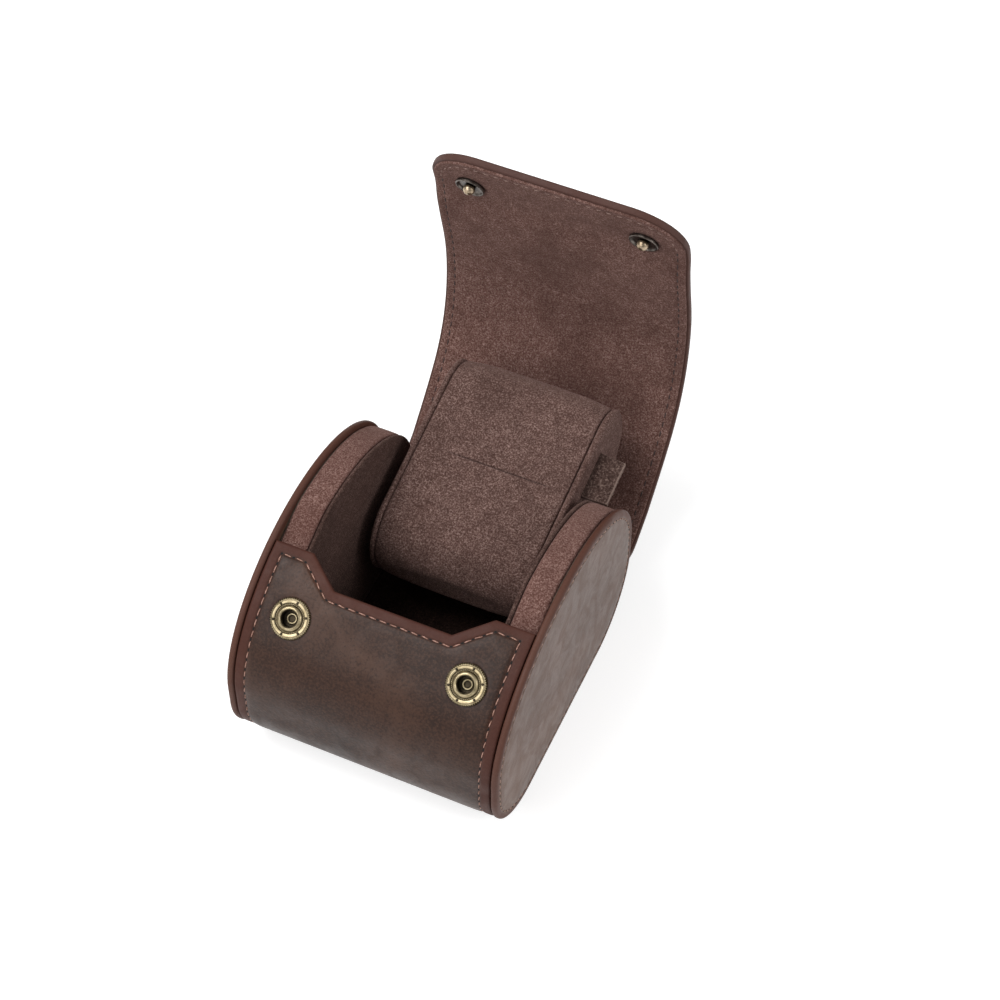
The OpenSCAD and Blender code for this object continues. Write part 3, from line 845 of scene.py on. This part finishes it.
flap_parts = [
    ("heel_fold_leather", HINGE_CUT, BACK_CUT, 0, ("case", "flap_back"), "back"),
    ("shoulder_fold_leather", BACK_CUT, CROWN_CUT, 1, ("flap_back", "flap_crown"), "crown"),
    ("tongue_fold_leather", CROWN_CUT, S_TIP, 2, ("flap_crown", "flap_tongue"), "tongue"),
]
for name, s0, s1, k, bodies, node in flap_parts:
    last = k == 2
    rows = spread((s0, s1, 1.3)) if not last else np.concatenate([spread((s0, S_TIP - 18, 1.4),
            (S_TIP - 18, S_TIP - 8.4, 1.2)), tip_rows])
    piece = laid_sheet(name, flap_xs, rows, leather_bottom, leather_top, tongue_depth if last else side_depth,
                       tongue_shape(0) if last else None)
    wrap(piece)
    finish_mesh(piece, 50)
    painted(piece, FLAP_LEATHER)
    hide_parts(node + "_leather", node + "_board")
    start, end = fold_ends(k)
    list(bodies)
    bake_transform(piece)
    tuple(start)
    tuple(end)

# suede lining, laid on the inner face and set back from the leather's edge
LINING_IN = 0.9


def lining_low(d):
    return rounded(d, 0.45, 0.4) + dip(d, STITCH_IN - LINING_IN, 0.5, 0.22)


def lining_high(d):
    return np.full(np.shape(d), LINING_T + 0.06)


lining_w = STRIP_X - LINING_IN
lining_xs = strip_columns(lining_w, (0, 24, 3.0), (24, 41, 1.7))
lining_tip = S_TIP - LINING_IN
base_lining_w = STRIP_X - 0.35
base_lining_xs = base_lining_w * np.sort(np.concatenate([-front_xs[front_xs > 0] / STRIP_X, [0],
                                                         front_xs[front_xs > 0] / STRIP_X]))


def base_lining_shape(x, s):
    return x, s + (notch_floor(x) + 0.35) * (1 - smooth(0, 34, s))


base_lining = laid_sheet("base_lining_suede_painted_shade", base_lining_xs, np.concatenate([[0, 0.12, 0.3, 0.6, 1.2], spread((2, 10,
        1.0), (10, HINGE_CUT, 2.2))]),
                         lambda d: rounded(d, 0.4, 0.3), lining_high, lambda x,
                         s: np.minimum(base_lining_w - np.abs(x), s), base_lining_shape)
wrap(base_lining)
finish_mesh(base_lining, 50)
# the base lining's darker suede is painted shade
painted(base_lining, BASE_SUEDE_SHADED)
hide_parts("base_lining")
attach(base_lining, "case")

for name, s0, s1, k, bodies, node in flap_parts:
    last = k == 2
    rows = spread((s0, s1, 1.3)) if not last else np.concatenate([spread((s0, lining_tip - 18, 1.4),
            (lining_tip - 18, lining_tip - 8.4, 1.2)), lining_tip - np.array(EDGE_STEPS)[::-1]])
    depth = (lambda x, s: np.minimum(lining_w - np.abs(x), lining_tip - s)) if last else (lambda x,
            s: lining_w - np.abs(x))
    piece = laid_sheet(node + "_fold_lining", lining_xs, rows, lining_low, lining_high, depth,
                       tongue_shape(LINING_IN) if last else None)
    wrap(piece)
    finish_mesh(piece, 50)
    painted(piece, FLAP_SUEDE)
    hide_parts(node + "_lining")
    start, end = fold_ends(k)
    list(bodies)
    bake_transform(piece)
    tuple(start)
    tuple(end)

# ---------------------------------------------------------------- stitches in the strip
def front_path():
    """Stitch line of the front wall: up one side, along the notched edge and down the other."""
    e, t, f = STITCH_IN, NOTCH_TOP / 2, NOTCH_FLOOR / 2
    slope = math.atan2(NOTCH_DEPTH, t - f)
    half = math.tan(slope / 2) * e
    left = [(-STRIP_X + e, HINGE_CUT - 0.5), (-STRIP_X + e, e), (-t - half, e), (-f - half, NOTCH_DEPTH + e)]
    return left, [(-x, s) for x, s in left[::-1]]


def sewn_rows(piece, material):
    wrap(piece)
    finish_mesh(piece, 60)
    return painted(piece, material)


left_run, right_run = front_path()
runs = [left_run[:2], left_run[1:3], left_run[2:4], [left_run[3], right_run[0]], right_run[:2], right_run[1:3],
        right_run[2:]]
front_rows = sewn_rows(sewn("front_stitches", runs, STRIP_T - 0.36, 1, lean=0.07), FRONT_THREAD)
front_holes = sewn_rows(pricked("front_needle_holes", runs, STRIP_T - 0.43), HOLE_DARK)
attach(front_rows, "case")
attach(front_holes, "case")

edge_w = STRIP_X - STITCH_IN
for name, s0, s1, k, bodies, node in flap_parts:
    start, end = fold_ends(k)
    sides = [[(-edge_w, s0), (-edge_w, s1)], [(edge_w, s0), (edge_w, s1)]]
    tip = []
    if k == 2:
        r = TONGUE_R - STITCH_IN
        top = S_TIP - STITCH_IN - r
        arc = [(-edge_w + r * (1 - math.cos(a)), top + r * math.sin(a)) for a in np.linspace(0, math.pi / 2, 24)]
        sides = [[(-edge_w, s0), (-edge_w, top)], [(edge_w, s0), (edge_w, top)]]
        tip = [arc + [(-x, s) for x, s in arc[::-1]]]
    made = [sewn_rows(sewn(node + "_outer_stitches", sides + tip, STRIP_T - 0.36, 1), FRONT_THREAD),
            sewn_rows(pricked(node + "_needle_holes", sides + tip, STRIP_T - 0.47), HOLE_DARK),
            sewn_rows(sewn(node + "_lining_stitches", sides, 0.20, -1, length=2.7, thick=0.5), LINING_THREAD)]
    if tip:
        made.append(sewn_rows(sewn("tip_lining_stitches", tip, 0.16, -1, length=2.2, thick=0.42, lean=0.12),
                              TIP_THREAD))
    for piece in made:
        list(bodies)
        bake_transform(piece)
        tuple(start)
        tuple(end)

# ---------------------------------------------------------------- ends: leather panels, boards and suede plugs
def even_places(count):
    p = np.concatenate([np.linspace(-91, -1, 400, endpoint=False), np.linspace(-1, 0, 20, endpoint=False),
                        np.linspace(0, 180, 900, endpoint=False),
                        np.linspace(180, 181, 20, endpoint=False), np.linspace(181, 271, 400, endpoint=False),
                        np.linspace(271, 272, 100)])
    run = measure(p, 0)
    return np.interp(np.arange(count) * run[-1] / count, run, p)


PANEL_SIDES = 240
panel_p = even_places(PANEL_SIDES)


def outline_ring(x, inset, side, depth=0.0):
    y, z = beside(panel_p, -inset - depth)
    return np.stack([np.full(len(y), side * x), y, z], 1)


def ring_piece(name, stations, side, depth=0.0):
    rings = [outline_ring(x, inset, side, depth) for x, inset in stations]
    return lofted(name, rings, PANEL_SIDES)


def near_edge(piece):
    """Distance from the panel's outline, kept for the leather's redder rim."""
    co = points(piece)
    y, z = beside(np.linspace(-91, 272, 1500), 0)
    best = np.full(len(co), 99.0)
    for i in range(0, len(co), 2000):
        part = co[i:i + 2000]
        best[i:i + 2000] = np.sqrt(((part[:, None, 1] - y) ** 2 + (part[:, None, 2] - z) ** 2).min(1))
    share(piece, "edge_depth", best)


PANEL_STITCH = 2.7
OUT_X = CASE_W / 2
for side, hand in ((-1, "left"), (1, "right")):
    stations = [(PANEL_X + 0.02, 6), (PANEL_X + 0.02, 1.1), (PANEL_X + 0.12, 0.62), (PANEL_X + 0.32, 0.28),
                (PANEL_X + 0.6, 0.07), (PANEL_X + 0.9, 0.0), (OUT_X - 1.1, 0.0)]
    for a in np.radians([18, 36, 54, 72, 90]):
        stations.append((OUT_X - 1.1 + 0.95 * math.sin(a), 1.1 * (1 - math.cos(a))))
    for d in (1.5, 1.9, 2.2, 2.45, 2.6, 2.7, 2.8, 2.95, 3.2, 3.6, 4.2, 5, 6.5, 9, 12, 16, 20):
        swell = 0.15 * float(smooth(PANEL_STITCH, PANEL_STITCH + 4, d)) - float(dip(np.array(d), PANEL_STITCH, 0.32,
                0.3))
        stations.append((OUT_X - 0.15 + swell, d))
    panel = ring_piece(hand + "_end_panel_leather", stations, side)
    near_edge(panel)
    to_metres(panel)
    finish_mesh(panel, 40)
    # the panel leather's lighter tone is painted light
    painted(panel, END_LEATHER_LIT)
    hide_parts(hand + "_end_leather")
    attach(panel, "case")

    depth = plug_depth(panel_p)
    band = [(PANEL_X - 0.02, 5), (PANEL_X - 0.02, 2.4), (PANEL_X - 0.25, 1.5), (PANEL_X - 0.42, 0.8),
            (PANEL_X - 0.62, 0.36), (PANEL_X - 0.95, 0.1), (PANEL_X - 1.4, 0.0), (PANEL_X - 2.5, -0.04),
            (PANEL_X - 4.5, -0.06), (PANEL_X - 6.5, -0.04), (PANEL_X - 7.9, 0.0), (PANEL_X - 8.5, 0.1),
            (PANEL_X - 8.85, 0.32), (PANEL_X - 9.05, 0.7),
            (PANEL_X - 9.1, 1.6), (PANEL_X - 9.1, 6)]
    plug = ring_piece(hand + "_plug_band_suede", band, side, depth)
    to_metres(plug)
    finish_mesh(plug, 40)
    painted(plug, PLUG_SUEDE)
    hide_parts(hand + "_plug_skin", hand + "_plug_core")
    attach(plug, "case")

    lip = [(FACE_X + 1.35, 6), (FACE_X + 1.35, 0.9), (FACE_X + 1.2, 0.35), (FACE_X + 0.95, 0.1),
           (FACE_X + 0.65, 0.03), (FACE_X + 0.35, 0.12), (FACE_X + 0.15, 0.34),
           (FACE_X + 0.04, 0.7), (FACE_X, 1.2), (FACE_X - 0.05, 2), (FACE_X - 0.12, 4), (FACE_X - 0.18, 8),
           (FACE_X - 0.2, 13), (FACE_X - 0.2, 18)]
    face = ring_piece(hand + "_plug_face_suede", lip, side, depth)
    to_metres(face)
    finish_mesh(face, 40)
    # the inner face's darker suede is painted shade
    painted(face, LIP_SUEDE_SHADED)
    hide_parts(hand + "_plug_face")
    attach(face, "case")

    # stitches and needle holes round the panel, laid out flat and then set on its face
    dense = np.linspace(-91, 272, 4000)
    run = measure(dense, -PANEL_STITCH)
    ring = [[(0, 0), (0, float(run[-1]))]]
    for piece, material in ((sewn(hand + "_panel_stitches", ring, -0.30, 1, 3.2, 2.35, 0.40), END_THREAD),
                            (pricked(hand + "_panel_needle_holes", ring, -0.36, 3.2, 0.7), HOLE_DARK)):
        co = points(piece)
        y, z, ny, nz = place(np.interp(co[:, 1] % run[-1], run, dense))
        inward = PANEL_STITCH - co[:, 0]
        set_points(piece, np.stack([side * (OUT_X + co[:, 2]), y - ny * inward, z - nz * inward], 1) * 0.001)
        finish_mesh(piece, 60)
        painted(piece, material)
        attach(piece, "case")

# ---------------------------------------------------------------- snaps
SOCKET_PROFILE = [(5.2, 0.0), (6.2, 0.02), (6.25, 0.2), (6.25, 0.42), (6.1, 0.66), (5.86, 0.84), (5.6, 0.92),
                  (5.5, 0.82), (5.42, 0.82), (5.32, 0.94), (4.75, 0.96), (4.6, 0.88), (4.46, 0.55), (3.98, 0.55),
                  (3.86, 0.8), (3.74, 1.05), (3.52, 1.36), (3.3, 1.54), (3.02, 1.6), (2.82, 1.5), (2.68, 1.3),
                  (2.6, 0.95), (2.6, 0.0)]
BORE_PROFILE = [(1.2, -1.9), (2.5, -1.9), (2.78, -1.7), (2.8, 0.9), (2.7, 1.15), (2.56, 1.05), (2.5, 0.4),
                (2.62, 0.1), (2.62, -1.5), (2.1, -1.7), (1.2, -1.72)]
POST_PROFILE = [(1.9, -1.74), (1.62, -1.6), (1.56, -1.42), (1.46, -1.28), (1.24, -1.26), (1.1, -1.36), (1.02, -1.66),
                (1.0, -1.74)]
STUD_PROFILE = [(4.2, 2.2), (4.68, 2.2), (4.7, 1.7), (4.66, 1.42), (4.5, 1.26), (4.3, 1.22), (4.12, 1.3), (4.0, 1.5),
                (3.85, 1.85), (3.5, 2.02), (2.6, 2.06), (1.9, 2.0), (1.5, 1.98)]
BALL_PROFILE = [(1.7, 2.1), (1.4, 1.98), (1.2, 1.85), (1.15, 1.75)] + [
    (1.85 * math.sin(a), 1.0 + 1.85 * math.cos(a)) for a in np.radians([55, 68, 80, 92, 104, 116, 128, 140, 152, 163,
    172])]
CAP_PROFILE = [(5.6, -0.1), (6.0, 0.05), (6.05, 0.3), (5.9, 0.55), (5.5, 0.74), (4.9, 0.82), (4.7, 0.8), (4.5, 0.86),
               (3.4, 1.12), (2.0, 1.3), (0.8, 1.36)]

for side, hand in ((-1, "left"), (1, "right")):
    seat = wall_seat(side * SNAP_X)
    flange = turned_piece(hand + "_socket_flange", SOCKET_PROFILE, 112, seat,
                          {2: 0.30, 3: 0.34, 4: 0.34, 5: 0.26, 6: 0.08}, ring=True)
    painted(flange, SOCKET_METAL)
    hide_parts(hand + "_socket")
    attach(flange, "case")
    bore = turned_piece(hand + "_socket_bore", BORE_PROFILE, 56, seat)
    painted(bore, BORE_METAL)
    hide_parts(hand + "_socket_spring")
    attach(bore, "case")
    post = turned_piece(hand + "_socket_post_tube", POST_PROFILE, 48, seat, ring=True)
    painted(post, SOCKET_METAL)
    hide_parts(hand + "_socket_post")
    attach(post, "case")
    beads = dotted(hand + "_socket_beads", 4.22, 46, 0.19, 0.62, seat)
    painted(beads, SOCKET_METAL)
    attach(beads, "case")
    pips = dotted(hand + "_socket_pips", 5.02, 6, 0.4, 0.96, seat, 0.6, 0.35)
    painted(pips, BORE_METAL)
    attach(pips, "case")

    seat = tongue_seat(side * SNAP_X)
    dish = turned_piece(hand + "_stud_dish", STUD_PROFILE, 72, seat)
    painted(dish, STUD_METAL)
    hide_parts(hand + "_stud")
    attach(dish, "flap_tongue")
    ball = turned_piece(hand + "_stud_ball", BALL_PROFILE, 48, seat)
    painted(ball, BALL_METAL)
    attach(ball, "flap_tongue")
    lift = SNAP_LIFT + STRIP_T
    cap = turned_piece(hand + "_stud_cap_dome", [(r, h + lift) for r, h in CAP_PROFILE], 72, seat)
    painted(cap, CAP_METAL)
    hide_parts(hand + "_stud_cap")
    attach(cap, "flap_tongue")

# ---------------------------------------------------------------- cushion
SEAT_Z = STRIP_T + SEAT_GAP + PILLOW_BELLY
REACH = 0.5 / math.tan(math.radians(CUSHION_TIP) / 2)
ROCK = (SLID_BACK / 2 - CUSHION_HOME - CLIMBED * REACH, SEAT_Z + CLIMBED / 2 + SLID_BACK * REACH)
PILLOW_SIDES = 160


def slid(x, y, z):
    """From the pillow's own frame to where it stands slid back on the open flap."""
    py, pz = turn(y - CUSHION_HOME, z + SEAT_Z, ROCK, CUSHION_TIP)
    return np.stack([x, py, pz], 1)


SEAM_STEPS = np.array([-1.5, -1.1, -0.8, -0.55, -0.35, -0.2, -0.08, 0.08, 0.2, 0.35, 0.55, 0.8, 1.1, 1.5])


def pillow_ring(x, inset):
    """Section of the pillow: rounded top corners and a belly below, drawn in by a distance."""
    l, top, b, r = PILLOW_L / 2 - inset, PILLOW_H - PILLOW_BELLY - inset, PILLOW_BELLY - inset, max(PILLOW_TOP_R - inset, 1.0)
    a = np.radians(np.linspace(0, 90, 60))
    right = np.stack([l - r + r * np.cos(a), top - r + r * np.sin(a)], 1)
    left = np.stack([r - l - r * np.sin(a), top - r + r * np.cos(a)], 1)
    u = np.radians(np.linspace(180, 360, 200))
    belly = np.stack([l * np.cos(u), b * np.sin(u)], 1)
    loop = np.concatenate([right, left, belly])
    run = np.concatenate([[0], np.cumsum(np.hypot(*np.diff(loop, axis=0).T))])
    middle = math.pi / 2 * r * 1.0 + (l - r)
    free = PILLOW_SIDES - len(SEAM_STEPS)
    room = (run[-1] - 3.0 - 1.2) / (free - 1)
    at = (middle + np.concatenate([SEAM_STEPS, 2.1 + np.arange(free) * room])) % run[-1]
    y, z = np.interp(at, run, loop[:, 0]), np.interp(at, run, loop[:, 1])
    return np.stack([np.full(PILLOW_SIDES, float(x)), y, z], 1)


def puffed(piece, held, cap_mm, frames=20):
    """Blows the wrap out against its seams with a short cloth run, and lets no point move further than cap_mm."""
    start = points(piece)
    group = piece.vertex_groups.new(name="seam")
    for index in np.nonzero(held > 0)[0]:
        group.add([int(index)], float(held[index]), "REPLACE")
    only(piece)
    cloth = piece.modifiers.new("fill", "CLOTH")
    settings = cloth.settings
    settings.use_pressure = True
    settings.uniform_pressure_force = 4.0
    settings.effector_weights.gravity = 0.0
    settings.vertex_group_mass = "seam"
    settings.mass = 0.25
    settings.tension_stiffness = settings.compression_stiffness = 12.0
    cloth.point_cache.frame_start, cloth.point_cache.frame_end = 1, frames
    for f in range(1, frames + 1):
        bpy.context.scene.frame_set(f)
    seen = piece.evaluated_get(bpy.context.evaluated_depsgraph_get()).to_mesh()
    end = np.empty(len(seen.vertices) * 3)
    seen.vertices.foreach_get("co", end)
    end = end.reshape(-1, 3)
    piece.modifiers.remove(cloth)
    bpy.context.scene.frame_set(1)
    move = end - start
    far = np.linalg.norm(move, axis=1)
    keep = np.where(far > 1e-9, cap_mm * np.tanh(far / cap_mm) / np.maximum(far, 1e-9), 0)
    set_points(piece, start + move * keep[:, None])
    piece.vertex_groups.clear()
    return piece


half = PILLOW_W / 2
rings = [pillow_ring(-half + 0.5, 4.0), pillow_ring(-half + 0.1, 2.4)] + [pillow_ring(x,
        1.25 * abs(x / half) ** 5 + 0.2) for x in np.linspace(-half, half, 41)] + [
    pillow_ring(half - 0.1, 2.4), pillow_ring(half - 0.5, 4.0)]
pillow = lofted("cushion_wrap_suede", rings, PILLOW_SIDES)
co = points(pillow)
to_metres(pillow)
puffed(pillow, (np.abs(co[:, 0]) > half - 0.6).astype(float), 0.0014)
set_points(pillow, points(pillow) * 1000)
only(pillow)
subdivide = pillow.modifiers.new("rounder", "SUBSURF")
subdivide.levels = subdivide.render_levels = 1
bpy.ops.object.modifier_apply(modifier="rounder")
co = points(pillow)
seam_at = np.abs(co[:, 1]) * (co[:, 2] > 5) + 99 * (co[:, 2] <= 5)
fade = 0.15 + 0.85 * smooth(-18, -9, co[:, 0]) * (1 - smooth(14, 21, co[:, 0]))
co[:, 2] -= (0.45 * np.exp(-((seam_at / 0.24) ** 2)) + 0.2 * np.exp(-((seam_at / 0.9) ** 2))) * fade
share(pillow, "seam_shade", 0.55 * np.exp(-((seam_at / 0.26) ** 2)) * fade)
set_points(pillow, slid(co[:, 0], co[:, 1], co[:, 2]) * 0.001)
finish_mesh(pillow, 60)
painted(pillow, CUSHION_SUEDE)
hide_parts("cushion_wrap", "cushion_core")
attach(pillow, "cushion")

for side, hand in ((-1, "left"), (1, "right")):
    if side > 0:
        steps = [(half - 0.2, 3.4), (half + 0.05, 2.2), (half + 0.25, 1.5), (half + 0.6, 1.05), (half + 1.1, 0.85),
                 (half + 1.7, 0.95), (half + 2.1, 1.3), (half + 2.4, 2.0), (half + 2.65, 3.4), (half + 2.8, 6),
                 (half + 2.85, 9), (half + 2.9, 12)]
    else:
        steps = [(half - 0.2, 3.4), (half + 0.05, 2.2), (half + 0.25, 1.5), (half + 0.6, 1.1), (half + 1.05, 1.0),
                 (half + 1.5, 1.2), (half + 1.8, 1.7), (half + 1.95, 2.6), (half + 2.0, 4), (half + 2.1, 7),
                 (half + 2.2, 10), (half + 2.2, 12)]
    cap = lofted(hand + "_cushion_cap_suede", [pillow_ring(side * x, inset) for x, inset in steps], PILLOW_SIDES)
    co = points(cap)
    set_points(cap, slid(co[:, 0], co[:, 1], co[:, 2]) * 0.001)
    finish_mesh(cap, 50)
    painted(cap, CUSHION_SUEDE)
    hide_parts(hand + "_cushion_cap")
    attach(cap, "cushion")

# pull tab: a folded strip of suede sewn into the right cap's seam
clear_selection()
bpy.ops.mesh.primitive_grid_add(x_subdivisions=12, y_subdivisions=24, size=1)
tab = named("pull_tab_suede")
bpy.ops.object.mode_set(mode="EDIT")
bpy.ops.mesh.select_all(action="SELECT")
bpy.ops.mesh.extrude_region_move(TRANSFORM_OT_translate={"value": (0, 0, 1)})
bpy.ops.object.mode_set(mode="OBJECT")
co = points(tab)
out, wide, up = co[:, 0] + 0.5, co[:, 1], co[:, 2]
rng = np.random.default_rng(7)
fray = rng.normal(0, 0.10, len(co))
share(tab, "edge_depth", np.minimum((1 - out) * TAB_L, (0.5 - np.abs(wide)) * TAB_W + 0.35))
x = half + 2.5 + out * TAB_L + np.where(out > 0.95, fray, 0)
y = TAB_BACK + wide * TAB_W * (1 - 0.06 * out) - 0.5 * out
z = TAB_Z - PILLOW_BELLY + (up - 0.5) * TAB_T * (1 + 0.15 * np.sin(wide * 9)) + 0.35 * out ** 2 + 0.15 * np.sin(wide * 3.0) * out
set_points(tab, slid(x, y, z) * 0.001)
finish_mesh(tab, 40)
painted(tab, TAB_SUEDE)
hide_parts("pull_tab")
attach(tab, "pull_tab")

# ---------------------------------------------------------------- hidden boards and cores
for node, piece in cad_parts.items():
    if piece.hide_render:
        continue
    piece.data.materials.clear()
    piece.data.materials.append(CORE_WOOD if "core" in node else STIFFENER)

# ---------------------------------------------------------------- floor, light and camera
clear_selection()
bpy.ops.mesh.primitive_plane_add(size=6, location=(0, 0, 0))
floor = named("studio_floor")
FLOOR_GLOW = 0.66  # brings the lit paper up to white and leaves its shadow faint
paper, tree, shader, where = new_material("white_paper_sweep")
shader.inputs["Base Color"].default_value = (0.6, 0.6, 0.6, 1)
shader.inputs["Roughness"].default_value = 0.9
shader.inputs["Specular IOR Level"].default_value = 0.0
ray = add(tree, "ShaderNodeLightPath")
seen = add(tree, "ShaderNodeMath", {"operation": "MAXIMUM"}, {0: ray.outputs["Is Camera Ray"],
        1: ray.outputs["Is Glossy Ray"]}).outputs[0]
seen = add(tree, "ShaderNodeMath", {"operation": "MAXIMUM"}, {0: seen,
        1: ray.outputs["Is Transmission Ray"]}).outputs[0]
glow = add(tree, "ShaderNodeEmission", {"Color": (1, 1, 1, 1), "Strength": FLOOR_GLOW})
both = add(tree, "ShaderNodeAddShader", {}, {0: shader.outputs[0], 1: glow.outputs[0]})
mix = add(tree, "ShaderNodeMixShader", {}, {0: seen, 1: shader.outputs[0], 2: both.outputs[0]})
tree.links.new(mix.outputs[0], [n for n in tree.nodes if n.type == "OUTPUT_MATERIAL"][0].inputs["Surface"])
floor.data.materials.append(paper)

world = bpy.data.worlds.new("studio_room")
world.use_nodes = True
tree = world.node_tree
tree.nodes.clear()
soft = add(tree, "ShaderNodeBackground", {"Color": (1, 1, 1, 1), "Strength": 0.40})
white = add(tree, "ShaderNodeBackground", {"Color": (1, 1, 1, 1), "Strength": 1.0})
ray = add(tree, "ShaderNodeLightPath")
pick = add(tree, "ShaderNodeMixShader", {}, {0: ray.outputs["Is Camera Ray"], 1: soft.outputs[0],
                                             2: white.outputs[0]})
add(tree, "ShaderNodeOutputWorld", {}, {"Surface": pick.outputs[0]})
bpy.context.scene.world = world


def softbox(name, at, size, power):
    clear_selection()
    bpy.ops.object.light_add(type="AREA", location=at)
    lamp = bpy.context.object
    lamp.name = name
    lamp.data.shape = "RECTANGLE"
    lamp.data.size, lamp.data.size_y = size
    lamp.data.energy = power
    lamp.rotation_euler = (Vector((0, 0.02, 0.05)) - Vector(at)).to_track_quat("-Z", "Y").to_euler()


softbox("key_softbox", (-0.60, -0.22, 1.20), (0.8, 0.8), 12)
softbox("sheen_softbox", (-0.42, -0.92, 0.75), (0.9, 0.7), 5.5)
softbox("fill_softbox", (1.05, 0.05, 0.70), (0.6, 0.6), 5)

AZIMUTH, ELEVATION, DISTANCE = math.radians(24.156), math.radians(51.97), 0.750
SENSOR_MM, PICTURE_PX, PX_PER_MM = 36.0, 1000, 3.313
right = Vector((math.cos(AZIMUTH), math.sin(AZIMUTH), 0))
back = Vector((math.sin(AZIMUTH) * math.cos(ELEVATION), -math.cos(AZIMUTH) * math.cos(ELEVATION),
               math.sin(ELEVATION)))
up = back.cross(right)
target = Vector((0, 0, 0.038)) + right * 0.019883 + up * 0.029744
clear_selection()
bpy.ops.object.camera_add(location=target + back * DISTANCE)
camera = bpy.context.object
camera.matrix_world = Matrix((right, up, back)).transposed().to_4x4()
camera.matrix_world.translation = target + back * DISTANCE
camera.data.sensor_width = SENSOR_MM
camera.data.lens = PX_PER_MM * DISTANCE * 1000 * SENSOR_MM / PICTURE_PX
camera.data.clip_start = 0.05
camera.data.dof.use_dof = False
bpy.context.scene.camera = camera
bpy.context.scene.view_settings.view_transform = "Standard"
